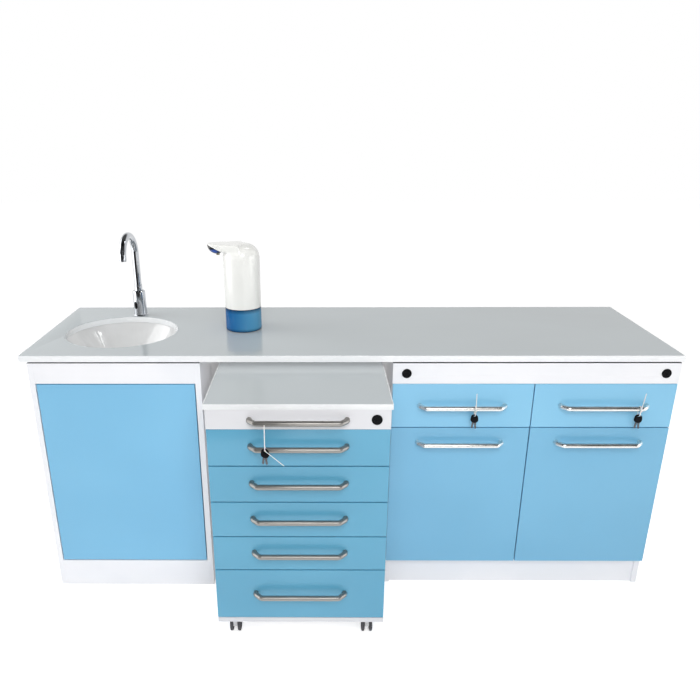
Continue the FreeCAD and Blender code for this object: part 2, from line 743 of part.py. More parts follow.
# ---- Locks ----------------------------------------------------------------------------
def lock_bore(x, z, face_y):
    """Hole in an apron for a lock barrel."""
    depth = front_thickness + pedestal_apron_proud
    return rod(V(x, face_y, z), V(x, face_y + depth, z), lock_barrel_radius + lock_bore_fit)


def lock_body(x, z, face_y, apron_thickness):
    """Round face plate and barrel, bored for the core."""
    face_front = face_y - lock_face_thickness
    barrel_end = face_y + apron_thickness + lock_barrel_reach
    body = rod(V(x, face_front, z), V(x, face_y, z), lock_face_radius)
    body = body.fuse(rod(V(x, face_y, z), V(x, barrel_end, z), lock_barrel_radius))
    return body.cut(rod(V(x, face_front, z), V(x, barrel_end, z),
                        lock_core_radius + lock_running_fit))


def lock_core(x, z, face_y, apron_thickness):
    """Turning core with a keyway, level with the face plate."""
    face_front = face_y - lock_face_thickness
    barrel_end = face_y + apron_thickness + lock_barrel_reach
    core = rod(V(x, face_front, z), V(x, barrel_end, z), lock_core_radius)
    slot = block(x - keyway_width / 2, x + keyway_width / 2, face_front,
                 face_front + keyway_depth, z - keyway_height / 2, z + keyway_height / 2)
    return core.cut(slot), barrel_end


def storage_locks():
    """A lock at each end of the storage apron, its tongue level when open."""
    z = (apron_bottom + carcass_top) / 2
    bodies = []
    sides = (("left", storage_left + lock_inset, 1), ("right", storage_right - lock_inset, -1))
    for side, x, inward in sides:
        bodies.append(lock_body(x, z, fronts_y, front_thickness))
        core, back = lock_core(x, z, fronts_y, front_thickness)
        x0, x1 = sorted((x - inward * cam_width / 2, x + inward * cam_length))
        cam = block(x0, x1, back, back + cam_thickness, z - cam_width / 2, z + cam_width / 2)
        add("storage_lock_core_" + side, [core, cam])
    add("storage_lock_bodies", bodies)


def pedestal_lock(tabs, bar_x0, bar_y0, bar_y1):
    """Central lock: the core's arm holds up the bar whose tabs block the drawers."""
    x = pedestal_right - pedestal_lock_inset
    z = (pedestal_apron_bottom + pedestal_carcass_top) / 2
    face_y = pedestal_front_y - pedestal_apron_proud
    thickness = front_thickness + pedestal_apron_proud
    add("pedestal_lock_body", [lock_body(x, z, face_y, thickness)])
    core, back = lock_core(x, z, face_y, thickness)
    half = bar_arm_width / 2
    arm = block(x - half, x + bar_arm_length, back, back + cam_thickness, z - half, z + half)
    add("pedestal_lock_core", [core, arm])
    ear_bottom = z + half + bar_ear_clearance
    ear_top = ear_bottom + bar_ear_height
    ear_x0 = x + bar_arm_length - half
    bar_bottom = pedestal_floor_top + bar_arm_length + lock_tab_clearance
    bar = block(bar_x0, bar_x0 + lock_bar_width, bar_y0, bar_y1, bar_bottom, ear_top)
    ear = block(ear_x0, bar_x0, bar_y0, bar_y1, ear_bottom, ear_top)
    add("pedestal_lock_bar", [bar, ear] + tabs)


# ---- Pedestal -------------------------------------------------------------------------
def caster_places():
    """Name and swivel centre of each caster."""
    left = pedestal_left + caster_inset_x
    right = pedestal_right - caster_inset_x
    front = pedestal_front_y + caster_inset_y
    back = pedestal_back_y - caster_inset_y
    return (("front_left", left, front), ("front_right", right, front),
            ("rear_left", left, back), ("rear_right", right, back))


def pedestal_cabinet():
    """Carcass, apron over the drawers and a floor that shows as a white strip."""
    left_in = pedestal_left + panel
    right_in = pedestal_right - panel
    back_y = pedestal_back_y - back_thickness
    rail_bottom = pedestal_carcass_top - panel
    lock_z = (pedestal_apron_bottom + pedestal_carcass_top) / 2
    apron_y = pedestal_front_y - pedestal_apron_proud
    apron_back = pedestal_front_y + front_thickness
    apron = block(pedestal_left, pedestal_right, apron_y, apron_back,
                  pedestal_apron_bottom, pedestal_carcass_top)
    apron = apron.cut(lock_bore(pedestal_right - pedestal_lock_inset, lock_z, apron_y))
    floor = block(pedestal_left, pedestal_right, pedestal_front_y, pedestal_back_y,
                  caster_height, pedestal_floor_top)
    for _, x, y in caster_places():
        floor = floor.cut(disc(x, y, caster_height, caster_stem_radius + axle_fit,
                               caster_stem_length))
    sides_bottom = pedestal_floor_top
    add("pedestal_cabinet", [
        block(pedestal_left, left_in, pedestal_carcass_y, pedestal_back_y,
              sides_bottom, pedestal_carcass_top),
        block(right_in, pedestal_right, pedestal_carcass_y, pedestal_back_y,
              sides_bottom, pedestal_carcass_top),
        block(left_in, right_in, back_y, pedestal_back_y, sides_bottom, pedestal_carcass_top),
        block(left_in, right_in, apron_back, pedestal_carcass_y + rail_width,
              rail_bottom, pedestal_carcass_top),
        block(left_in, right_in, back_y - rail_width, back_y, rail_bottom, pedestal_carcass_top),
        apron, floor])


def pedestal_top_slab():
    """Glass sheet on a board with edging, like the worktop."""
    x0 = pedestal_left - pedestal_top_overhang
    x1 = pedestal_right + pedestal_top_overhang
    y0 = pedestal_front_y - pedestal_apron_proud
    y1 = pedestal_back_y
    z0 = pedestal_carcass_top
    z1 = pedestal_top
    mid = z1 - glass_thickness
    ix0, ix1, iy0, iy1 = x0 + edging_width, x1 - edging_width, y0 + edging_width, y1 - edging_width
    add("pedestal_top", [
        block(ix0, ix1, iy0, iy1, z0, mid),
        block(x0, x1, y0, iy0, z0, z1),
        block(x0, x1, iy1, y1, z0, z1),
        block(x0, ix0, iy0, iy1, z0, z1),
        block(ix1, x1, iy0, iy1, z0, z1),
        block(ix0 + glass_fit, ix1 - glass_fit, iy0 + glass_fit, iy1 - glass_fit, mid, z1)])


def casters():
    """Twin-wheel swivel casters, trailing towards the wall."""
    inner = wheel_gap / 2
    turntable_top = caster_height - caster_headroom
    neck_top = turntable_top - caster_turntable_thickness
    for name, x, y in caster_places():
        axle_y = y + caster_trail
        turntable = disc(x, y, neck_top, caster_turntable_radius, caster_turntable_thickness)
        stem = disc(x, y, turntable_top, caster_stem_radius, caster_stem_length)
        neck = block(x - inner, x + inner, axle_y - caster_neck_depth, axle_y + axle_radius,
                     wheel_radius, neck_top)
        hub = rod(V(x - inner, axle_y, wheel_radius), V(x + inner, axle_y, wheel_radius),
                  caster_hub_radius)
        outer = inner + wheel_clearance + wheel_width
        axle = rod(V(x - outer, axle_y, wheel_radius), V(x + outer, axle_y, wheel_radius),
                   axle_radius)
        frame = turntable.fuse(stem).fuse(neck).fuse(hub).fuse(axle).removeSplitter()
        add("caster_%s_frame" % name, [frame])
        wheels = []
        for side in (-1, 1):
            near = x + side * (inner + wheel_clearance)
            far = x + side * outer
            wheel = rod(V(near, axle_y, wheel_radius), V(far, axle_y, wheel_radius), wheel_radius)
            wheels.append(wheel.cut(rod(V(near, axle_y, wheel_radius), V(far, axle_y, wheel_radius),
                                        axle_radius + axle_fit)))
        add("caster_%s_wheels" % name, wheels)


# ---- Keys -----------------------------------------------------------------------------
def racetrack(x, y, top_z, drop, radius):
    """Upright rounded slab as wide as a tie, standing across the handle bar."""
    x0 = x - tie_width / 2
    low_z = top_z - drop
    across = V(tie_width, 0, 0)
    upper = rod(V(x0, y, top_z), V(x0, y, top_z) + across, radius)
    lower = rod(V(x0, y, low_z), V(x0, y, low_z) + across, radius)
    return upper.fuse(lower).fuse(block(x0, x0 + tie_width, y - radius, y + radius, low_z, top_z))


def key(x, y0, y1, hole_top, lean):
    """Key hanging flat between y0 and y1 from the top edge of its hole, leaning sideways."""
    hole_top += tie_width / 2 * math.sin(math.radians(key_fan))
    top = hole_top + key_hole_rim
    upper = top - key_bow_radius
    lower = top - key_bow_height + key_bow_radius
    bow = rod(V(x, y0, upper), V(x, y1, upper), key_bow_radius)
    bow = bow.fuse(rod(V(x, y0, lower), V(x, y1, lower), key_bow_radius))
    bow = bow.fuse(block(x - key_bow_radius, x + key_bow_radius, y0, y1, lower, upper))
    bow = bow.removeSplitter()
    hole = block(x - key_hole_width / 2, x + key_hole_width / 2, y0, y1,
                 hole_top - key_hole_height, hole_top)
    middle = (y0 + y1) / 2
    blade_bottom = top - key_bow_height - blade_length
    blade = block(x - blade_width / 2, x + blade_width / 2, middle - blade_thickness / 2,
                  middle + blade_thickness / 2, blade_bottom, lower)
    solids = [bow.cut(hole), blade.cut(bow)]
    for solid in solids:
        solid.rotate(V(x, y0, hole_top), V(0, 1, 0), lean)
    return solids


def tie_strip(x, y, z, run):
    """Straight stretch of tie that starts level at its front lower edge."""
    half = tie_width / 2
    corners = [V(x - half, y, z), V(x + half, y, z), V(x + half, y + tie_thickness, z),
               V(x - half, y + tie_thickness, z)]
    return Part.Face(Part.makePolygon(corners + corners[:1])).extrude(run)


def hanging_keys(name, x, bar_y, bar_z):
    """Tie looped loosely round a handle bar, with two keys hanging in its lower bend."""
    loop = racetrack(x, bar_y, bar_z, tie_drop, tie_outer).cut(
        racetrack(x, bar_y, bar_z, tie_drop, tie_inner))
    half = tie_head / 2
    front = bar_y - tie_outer
    head = block(x - half, x + half, front - tie_head, front, bar_z - tie_head, bar_z)
    end = tie_strip(x, front - half, bar_z, storage_tie_end)
    hole_top = bar_z - tie_drop - tie_inner + key_seat
    back_key = key(x, bar_y + key_gap / 2, bar_y + key_gap / 2 + key_bow_thickness, hole_top,
                   key_fan)
    front_key = key(x, bar_y - key_gap / 2 - key_bow_thickness, bar_y - key_gap / 2, hole_top,
                    -key_fan)
    add(name, [loop, head, end] + back_key + front_key)


def tight_keys(name, x, bar_y, bar_z, pull_y, pull_z):
    """Tie drawn tight round a handle bar, two keys on it in front of the bar.

    Past the keys one end of the tie stands up to the pull handle, the other hangs down."""
    half = tie_head / 2
    near = V(x - tie_width / 2, bar_y, bar_z)
    far = V(x + tie_width / 2, bar_y, bar_z)
    ring = rod(near, far, tie_outer).cut(rod(near, far, tie_inner))
    front = bar_y - tie_outer
    head = block(x - half, x + half, front - tie_head, front, bar_z - half, bar_z + half)
    head.rotate(near, V(1, 0, 0), -tight_head_turn)
    bridge_top = bar_z + (tie_outer + tie_head) * math.sin(tight_turn)
    tie_front = bar_y - tight_keys_front - key_gap - tie_thickness
    bridge = block(near.x, far.x, tie_front, bar_y - tie_outer * math.cos(tight_turn),
                   bridge_top - tie_thickness, bridge_top).cut(head)
    bridge = max(bridge.Solids, key=lambda solid: solid.Volume)
    riser_top = V(x, pull_y - handle_radius - riser_gap - tie_thickness, pull_z)
    riser = tie_strip(x, tie_front, bridge_top, riser_top - V(x, tie_front, bridge_top))
    end = tie_strip(x, tie_front, bridge_top - tie_thickness, tight_tie_end)
    keys = []
    back = bar_y - tight_head_reach
    for lean in (key_fan, -key_fan):
        back -= key_gap + key_bow_thickness
        keys += key(x, back, back + key_bow_thickness, bridge_top, lean)
    add(name, [ring, head, bridge, riser, end] + keys)


# ---- Soap dispenser -------------------------------------------------------------------
def dispenser():
    """Free-standing automatic soap dispenser: clear tank under a white housing."""
    x, y, base = dispenser_x, dispenser_y, worktop_height
    seam = base + tank_height
    tank = disc(x, y, base, dispenser_radius, tank_height)
    neck = disc(x, y, seam, tank_neck_radius, tank_neck_height)
    inside = disc(x, y, base + dispenser_wall, dispenser_radius - dispenser_wall,
                  tank_height - 2 * dispenser_wall)
    mouth = disc(x, y, seam - dispenser_wall, tank_neck_radius - dispenser_wall,
                 tank_neck_height + dispenser_wall)
    add("dispenser_tank", [tank.fuse(neck).cut(inside).cut(mouth)])
    top = base + dispenser_height
    shell_bottom = seam + tank_fit
    shell = disc(x, y, shell_bottom, dispenser_radius, top - shell_bottom)
    crown = [edge for edge in shell.Edges if abs(edge.BoundBox.ZMin - top) < 1e-6]
    shell = shell.makeFillet(dispenser_crown, crown)
    arm_bottom = top - arm_thickness
    shell = shell.fuse(dispenser_arm(x, y, top, arm_bottom)).removeSplitter()
    hollow_top = top - dispenser_crown - dispenser_wall
    hollow = disc(x, y, shell_bottom + dispenser_wall, dispenser_radius - dispenser_wall,
                  hollow_top - shell_bottom - dispenser_wall)
    socket = disc(x, y, shell_bottom, tank_neck_radius + tank_fit, dispenser_wall)
    shell = shell.cut(hollow).cut(socket)
    lens = sensor_lens(x, y, top, arm_bottom)
    nozzle_bottom = top - nozzle_reach
    nozzle = disc(x - arm_reach + nozzle_inset, y, nozzle_bottom, nozzle_radius, nozzle_reach)
    nozzle = nozzle.cut(lens).cut(shell)
    pump = disc(x, y, hollow_top - pump_length, pump_radius, pump_length)
    tube_bottom = base + 2 * dispenser_wall
    tube = disc(x, y, tube_bottom, pump_tube_radius, hollow_top - pump_length - tube_bottom)
    add("dispenser_housing", [shell, lens, nozzle, pump, tube])


def dispenser_arm(x, y, top, bottom):
    """Flat arm, tapering to a round tip; its underside slopes up along the beak."""
    tip_x = x - arm_reach
    corners = [V(tip_x, y, top), V(x, y, top), V(x, y, bottom), V(tip_x + beak_length, y, bottom),
               V(tip_x, y, top - arm_tip_thickness)]
    half = arm_width / 2
    root = arm_root_width / 2
    profile = Part.Face(Part.makePolygon(corners + corners[:1]))
    profile.translate(V(0, -root, 0))
    taper = math.asin((root - half) / (arm_reach - half))
    back = V(-math.sin(taper), math.cos(taper), 0)
    front = V(-math.sin(taper), -math.cos(taper), 0)
    tip = V(tip_x + half, y, bottom)
    body = V(x, y, bottom)
    outline = [tip + back * half, body + back * root, body + V(0, root, 0), body - V(0, root, 0),
               body + front * root, tip + front * half]
    plan = Part.Face(Part.makePolygon(outline + outline[:1])).extrude(V(0, 0, top - bottom))
    plan = plan.fuse(disc(tip.x, y, bottom, half, top - bottom))
    return profile.extrude(V(0, arm_root_width, 0)).common(plan)


def sensor_lens(x, y, top, bottom):
    """Shallow dome on the beak's sloping underside."""
    high = V(x - arm_reach, y, top - arm_tip_thickness)
    low = V(x - arm_reach + beak_length, y, bottom)
    slope = math.degrees(math.atan2(high.z - low.z, beak_length))
    ball_radius = (lens_radius ** 2 + lens_height ** 2) / (2 * lens_height)
    middle = (high + low) / 2
    ball = Part.makeSphere(ball_radius, V(0, 0, ball_radius - lens_height))
    cap = ball.common(block(-ball_radius, ball_radius, -ball_radius, ball_radius,
                            -lens_height, 0))
    cap.rotate(V(0, 0, 0), V(0, 1, 0), slope)
    cap.translate(middle)
    return cap


def build():
    """Make every node."""
    worktop_parts()
    basin_bottom = sink_basin()
    outlet_z = sink_waste(basin_bottom)
    faucet_base()
    faucet_spout()
    sink_cabinet(outlet_z)
    storage_cabinet()
    doors()
    storage_drawers()
    storage_locks()
    pedestal_cabinet()
    pedestal_top_slab()
    tabs, bar_x0, bar_y0, bar_y1 = pedestal_drawers()
    pedestal_lock(tabs, bar_x0, bar_y0, bar_y1)
    pull_z = (pedestal_apron_bottom + pedestal_carcass_top) / 2
    pull_y = pedestal_front_y - pedestal_apron_proud
    add("pedestal_pull_handle", [bow_handle(pedestal_middle, pull_y, pull_z)])
    casters()
    bar_reach = handle_projection - handle_radius
    drawer_z = doors_top + storage_drawer_pitch / 2 + front_gap / 2
    left_x = (storage_left + storage_middle) / 2 + left_key_offset
    right_x = (storage_middle + storage_right) / 2 + right_key_offset
    hanging_keys("storage_left_key_set", left_x, fronts_y - bar_reach, drawer_z)
    hanging_keys("storage_right_key_set", right_x, fronts_y - bar_reach, drawer_z)
    low, high = pedestal_rows()[0]
    tight_keys("pedestal_key_set", pedestal_middle + pedestal_key_offset,
               pedestal_front_y - bar_reach, (low + high) / 2 + handle_lift,
               pull_y - bar_reach, pull_z)
    dispenser()


build()
os.makedirs("parts", exist_ok=True)
for node, solids in NODES.items():
    shape = solids[0] if len(solids) == 1 else Part.makeCompound(solids)
    shape.exportStep(os.path.join("parts", node + ".step"))
    print(node, len(shape.Solids), shape.isValid(), round(shape.Volume))
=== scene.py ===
"""Looks of the dental treatment-room cabinet run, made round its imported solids.

Metres in the part's own frame: +X runs right along the worktop, +Y to the wall, +Z up.
"""
import json
import math

import bmesh
import bpy
from mathutils import Matrix, Vector

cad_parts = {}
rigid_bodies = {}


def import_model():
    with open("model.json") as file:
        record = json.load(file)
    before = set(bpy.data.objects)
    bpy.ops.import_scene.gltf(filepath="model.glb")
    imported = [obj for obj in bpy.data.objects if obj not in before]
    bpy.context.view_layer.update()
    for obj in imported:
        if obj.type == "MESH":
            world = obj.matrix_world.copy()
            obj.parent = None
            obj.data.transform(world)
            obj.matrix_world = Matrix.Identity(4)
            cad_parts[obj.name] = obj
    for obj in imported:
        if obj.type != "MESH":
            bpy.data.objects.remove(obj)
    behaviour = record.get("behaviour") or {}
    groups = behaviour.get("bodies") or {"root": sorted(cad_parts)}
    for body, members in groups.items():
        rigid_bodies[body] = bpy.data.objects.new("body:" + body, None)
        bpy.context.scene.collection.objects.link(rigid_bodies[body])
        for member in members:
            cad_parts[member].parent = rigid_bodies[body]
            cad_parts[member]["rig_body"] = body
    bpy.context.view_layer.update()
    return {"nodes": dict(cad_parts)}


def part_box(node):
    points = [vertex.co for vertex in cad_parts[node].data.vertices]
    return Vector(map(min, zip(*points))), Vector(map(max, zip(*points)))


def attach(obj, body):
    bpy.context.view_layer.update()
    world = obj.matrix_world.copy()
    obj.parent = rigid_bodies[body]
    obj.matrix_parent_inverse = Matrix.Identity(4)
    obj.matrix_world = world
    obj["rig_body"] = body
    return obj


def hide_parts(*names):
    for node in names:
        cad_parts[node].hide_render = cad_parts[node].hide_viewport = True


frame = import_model()

MM = 0.001
WELD = 0.002 * MM                   # points nearer than this become one
UP = Vector((0, 0, 1))
ACROSS = Vector((1, 0, 0))
TO_WALL = Vector((0, 1, 0))


# ---- Places in the frame --------------------------------------------------------------
def middle(node):
    """Centre of a node's box."""
    low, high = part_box(node)
    return tuple((a + b) / 2 for a, b in zip(low, high))


def body_of(node):
    """Body that a node rides on."""
    return frame["nodes"][node]["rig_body"]


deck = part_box("worktop_glass")[1].z
cabinet_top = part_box("worktop_board")[0].z - 4 * MM
tank_low, tank_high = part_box("dispenser_tank")
soap_x, soap_y = middle("dispenser_tank")[:2]
seam = tank_low.z + 79 * MM         # where the soap tank ends and the housing starts
housing_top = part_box("dispenser_housing")[1].z


# ---- Finishes -------------------------------------------------------------------------
SHARE, TONE_A, TONE_B, MIXED = 0, 6, 7, 2   # sockets of a Mix node that mixes colours


def linear(code):
    """Linear colour of an sRGB hex value."""
    parts = [int(code[i:i + 2], 16) / 255 for i in (0, 2, 4)]
    return [p / 12.92 if p <= 0.04045 else ((p + 0.055) / 1.055) ** 2.4 for p in parts] + [1.0]


def put(tree, kind, values=(), links=(), **settings):
    """Add a node: settings are its options, values fill sockets, links join other outputs."""
    node = tree.nodes.new(kind)
    for option, value in settings.items():
        setattr(node, option, value)
    for socket, value in dict(values).items():
        node.inputs[socket].default_value = value
    for socket, (source, output) in dict(links).items():
        tree.links.new(source.outputs[output], node.inputs[socket])
    return node


def blank_finish(name, **sockets):
    """A material with object coordinates and one surface shader; returns its tree and both."""
    material = bpy.data.materials.new(name)
    material.use_nodes = True
    tree = material.node_tree
    tree.nodes.clear()
    coords = put(tree, "ShaderNodeTexCoord")
    values = {socket.replace("_", " "): value for socket, value in sockets.items()}
    shader = put(tree, "ShaderNodeBsdfPrincipled", values)
    put(tree, "ShaderNodeOutputMaterial", links={"Surface": (shader, "BSDF")})
    return material, tree, coords, shader


def lumps(tree, coords, size, detail=2.0):
    """Noise whose lumps measure size, in millimetres along X, Y and Z."""
    place = put(tree, "ShaderNodeMapping", {"Scale": [1 / (s * MM) for s in size]},
                {"Vector": (coords, "Object")})
    return put(tree, "ShaderNodeTexNoise", {"Scale": 1.0, "Detail": detail},
               {"Vector": (place, "Vector")})


def wander(tree, coords, size, low, high, detail=2.0):
    """A value that runs smoothly between two others over lumps of that size. Noise keeps near
    its middle, so the middle half of its range is stretched to the whole."""
    noise = lumps(tree, coords, size, detail)
    return put(tree, "ShaderNodeMapRange",
               {"From Min": 0.25, "From Max": 0.75, "To Min": low, "To Max": high},
               {"Value": (noise, "Fac")}, interpolation_type="SMOOTHERSTEP")


def two_tones(tree, coords, shader, tones, size, detail=2.0):
    """Let the colour drift between two tones over lumps of that size."""
    share = wander(tree, coords, size, 0.0, 1.0, detail)
    mix = put(tree, "ShaderNodeMix", {TONE_A: linear(tones[0]), TONE_B: linear(tones[1])},
              {SHARE: (share, "Result")}, data_type="RGBA")
    tree.links.new(mix.outputs[MIXED], shader.inputs["Base Color"])
    return mix


def toned_above(tree, coords, shader, below, low, high, tone):
    """Blend the colour over to one tone between two heights, in metres."""
    parts = put(tree, "ShaderNodeSeparateXYZ", links={"Vector": (coords, "Object")})
    share = put(tree, "ShaderNodeMapRange", {"From Min": low, "From Max": high},
                {"Value": (parts, "Z")})
    mix = put(tree, "ShaderNodeMix", {TONE_B: linear(tone)},
              {SHARE: (share, "Result"), TONE_A: (below, MIXED)}, data_type="RGBA")
    tree.links.new(mix.outputs[MIXED], shader.inputs["Base Color"])


def uneven_gloss(tree, coords, shader, gloss, size):
    """Let the roughness wander between two values over lumps of that size."""
    rough = wander(tree, coords, size, *gloss)
    tree.links.new(rough.outputs["Result"], shader.inputs["Roughness"])


def relief(tree, coords, shader, layers):
    """Raise the surface by layers of lumps, each given its size and its depth in millimetres."""
    below = None
    for size, depth, detail in layers:
        noise = lumps(tree, coords, size, detail)
        links = {"Height": (noise, "Fac")}
        if below:
            links["Normal"] = (below, "Normal")
        below = put(tree, "ShaderNodeBump", {"Strength": 1.0, "Distance": depth * MM}, links)
    tree.links.new(below.outputs["Normal"], shader.inputs["Normal"])


def plain_finish(name, tones, size, layers, gloss, gloss_size, detail=2.0, **sockets):
    """A finish of two drifting tones, layers of relief and a wandering gloss."""
    material, tree, coords, shader = blank_finish(name, **sockets)
    two_tones(tree, coords, shader, tones, size, detail)
    relief(tree, coords, shader, layers)
    uneven_gloss(tree, coords, shader, gloss, gloss_size)
    return material


def back_painted_glass():
    """Tempered float glass, painted pale grey behind: a hard clear gloss over a cool tone,
    with the faint waviness that the tempering rollers leave."""
    return plain_finish("back_painted_glass", ("BDC5C8", "B9C0C3"), (900, 500, 500),
                        [((260, 420, 260), 0.05, 0.0)], (0.11, 0.18), (120, 70, 70), IOR=1.4)


def white_edge_strip(name, tones):
    """Extruded ABS edging: smooth bright white with long, faint drawing lines."""
    return plain_finish(name, tones, (180, 60, 30), [((120, 120, 1.2), 0.006, 1.0)], (0.2, 0.3),
                        (60, 60, 12), IOR=1.53)


def cutout_edging():
    """Edging of the sink's cut-out: white on its wall, ground down flush to the glass's grey
    along its top."""
    material, tree, coords, shader = blank_finish("cutout_edging", IOR=1.5)
    wall = two_tones(tree, coords, shader, ("F6F8F9", "EFF2F4"), (120, 120, 30))
    toned_above(tree, coords, shader, wall, deck - 1.2 * MM, deck - 0.2 * MM, "BCC4C7")
    uneven_gloss(tree, coords, shader, (0.2, 0.3), (60, 60, 12))
    return material


def white_melamine(name, tones, painted_shade_from=None):
    """Melamine-faced board: a cool white print under a fine pearl texture. Above a given
    height the top edges are painted dark: painted shade in the joint under the worktop."""
    material, tree, coords, shader = blank_finish(name, IOR=1.5)
    print_tone = two_tones(tree, coords, shader, tones, (240, 240, 160))
    if painted_shade_from:
        # Painted shade: the top edges turn near-black, standing for the shadow in the joint under
        # the worktop.
        toned_above(tree, coords, shader, print_tone, painted_shade_from - 0.4 * MM, painted_shade_from, "2A2C2F")
    relief(tree, coords, shader, [((1.6, 1.6, 1.6), 0.012, 2.0)])
    uneven_gloss(tree, coords, shader, (0.3, 0.42), (90, 90, 90))
    return material


def blue_lacquer(name, tones):
    """Sprayed satin lacquer: an even blue with slight orange peel and soft clouding."""
    return plain_finish(name, tones, (420, 420, 300),
                        [((90, 90, 120), 0.012, 0.0), ((2.5, 2.5, 2.5), 0.003, 1.0)], (0.28, 0.34),
                        (80, 80, 110), 1.0, IOR=1.5, Coat_Weight=0.25, Coat_Roughness=0.12)


def white_drawer_board():
    """Foil-wrapped drawer board: a plain warmer white with a dull print."""
    return plain_finish("white_foil_board", ("E9E8E5", "E2E1DE"), (160, 160, 60),
                        [((2.4, 8, 2.4), 0.015, 2.0)], (0.42, 0.55), (60, 90, 60), IOR=1.48)


def glazed_ceramic():
    """Glazed white ware: thick glossy glaze that pools in slow waves."""
    return plain_finish("glazed_white_ceramic", ("E1E2E2", "DBDCDC"), (110, 110, 70),
                        [((45, 45, 45), 0.06, 1.0)], (0.1, 0.18), (50, 50, 50), IOR=1.55,
                        Coat_Weight=0.6, Coat_Roughness=0.04)


def pipe_plastic():
    """Injection-moulded polypropylene: milky grey white with a waxy sheen."""
    return plain_finish("white_polypropylene", ("E3E2DE", "D8D8D4"), (40, 40, 40),
                        [((1.5, 1.5, 1.5), 0.02, 2.0)], (0.35, 0.5), (18, 18, 18), IOR=1.49,
                        Subsurface_Weight=0.08, Subsurface_Scale=3 * MM)


def chrome_plate():
    """Polished chrome on brass: a near mirror with barely seen polishing waves."""
    return plain_finish("polished_chrome", ("C3C6CA", "B9BCC1"), (30, 30, 60),
                        [((9, 9, 22), 0.004, 0.0)], (0.035, 0.08), (12, 12, 20), Metallic=1.0)


def brushed_bar(name, tones, gloss):
    """Metal bar brushed along its length: a soft long highlight broken by fine streaks."""
    return plain_finish(name, tones, (90, 0.8, 0.8), [((40, 0.5, 0.5), 0.008, 2.0)], gloss,
                        (60, 1.2, 1.2), 3.0, Metallic=1.0)


def black_zinc():
    """Black-plated zinc casting: deep satin black with rubbed, slightly paler spots."""
    return plain_finish("black_plated_zinc", ("08080A", "141417"), (4, 4, 4),
                        [((0.9, 0.9, 0.9), 0.01, 2.0)], (0.22, 0.36), (3, 3, 3), 3.0,
                        Specular_IOR_Level=0.08)


def zinc_steel():
    """Zinc-plated pressed steel: cool grey with a cloudy, rolled surface."""
    return plain_finish("zinc_plated_steel", ("C4C7CA", "AEB2B7"), (14, 40, 14),
                        [((1.0, 14, 1.0), 0.015, 2.0)], (0.28, 0.45), (8, 20, 8), 3.0, Metallic=1.0)


def key_steel():
    """Nickel-plated key blade: dulled steel with milling lines across it."""
    return plain_finish("nickel_plated_blade", ("6A6C70", "505256"), (3, 3, 0.8),
                        [((8, 8, 0.4), 0.01, 1.0)], (0.2, 0.36), (2, 2, 2), Metallic=1.0)


def black_key_plastic():
    """Moulded ABS key head: near-black with a fine spark-eroded grain."""
    return plain_finish("black_abs_key_head", ("0A0A0D", "151519"), (6, 6, 6),
                        [((0.6, 0.6, 0.6), 0.02, 2.0)], (0.3, 0.45), (4, 4, 4),
                        Specular_IOR_Level=0.08)


def clear_nylon():
    """Natural nylon tie: milky white, a little light comes through its edges."""
    return plain_finish("natural_nylon", ("F5F4F0", "EAE9E4"), (10, 10, 10),
                        [((5, 5, 1.0), 0.04, 0.0)], (0.35, 0.5), (3, 3, 3), IOR=1.53,
                        Subsurface_Weight=0.2, Subsurface_Scale=2 * MM)


def caster_nylon():
    """Glass-filled nylon: dull pale grey with a coarse moulded grain."""
    return plain_finish("grey_glass_filled_nylon", ("DEDEDE", "D0D0D1"), (12, 12, 12),
                        [((1.2, 1.2, 1.2), 0.05, 2.0)], (0.4, 0.6), (6, 6, 6), IOR=1.53)


def wheel_tread():
    """Grey polyurethane tread: matt rubbery grey, scuffed paler where it rolls."""
    return plain_finish("grey_polyurethane_tread", ("38383B", "4E4E52"), (9, 3, 3),
                        [((0.8, 2.5, 2.5), 0.05, 3.0)], (0.5, 0.75), (5, 5, 5), 4.0, IOR=1.5)


def tank_plastic():
    """Clear blue polycarbonate: saturated blue, deeper where the light runs through the thick
    rims at its foot and shoulder. Its wall runs from deep blue at the left to pale at the
    right: painted light."""
    material, tree, coords, shader = blank_finish("clear_blue_polycarbonate", IOR=1.4,
                                                  Specular_IOR_Level=0.25,
                                                  Transmission_Weight=0.12)
    parts = put(tree, "ShaderNodeSeparateXYZ", links={"Vector": (coords, "Object")})
    # Painted light: the wall's blue is deep at the left side and paler at the right.
    side = put(tree, "ShaderNodeMapRange", {"From Min": tank_low.x, "From Max": tank_high.x},
               {"Value": (parts, "X")}, interpolation_type="SMOOTHSTEP")
    wall = put(tree, "ShaderNodeMix", {TONE_A: linear("0A62A4"), TONE_B: linear("5BA3CC")},
               {SHARE: (side, "Result")}, data_type="RGBA")
    height = put(tree, "ShaderNodeMapRange", {"From Min": tank_low.z, "From Max": seam},
                 {"Value": (parts, "Z")})
    depth = put(tree, "ShaderNodeValToRGB", links={"Fac": (height, "Result")})
    ramp = depth.color_ramp.elements
    for place in (0.15, 0.8):       # the plain wall between its rims, as shares of its height
        ramp.new(place).color = (0, 0, 0, 1)
    for rim in (ramp[0], ramp[-1]):
        rim.color = (0.9, 0.9, 0.9, 1)
    rims = put(tree, "ShaderNodeMix", {TONE_B: linear("0A2747")},
               {SHARE: (depth, "Color"), TONE_A: (wall, MIXED)}, data_type="RGBA")
    tree.links.new(rims.outputs[MIXED], shader.inputs["Base Color"])
    relief(tree, coords, shader, [((30, 30, 60), 0.03, 0.0)])
    uneven_gloss(tree, coords, shader, (0.06, 0.14), (30, 30, 30))
    return material


def soap_liquid():
    """Liquid soap: a denser blue body seen through the tank."""
    return plain_finish("blue_liquid_soap", ("1F7FBC", "4C97C4"), (80, 60, 60),
                        [((25, 25, 25), 0.02, 0.0)], (0.05, 0.12), (30, 30, 30), 1.0, IOR=1.36,
                        Transmission_Weight=0.2)


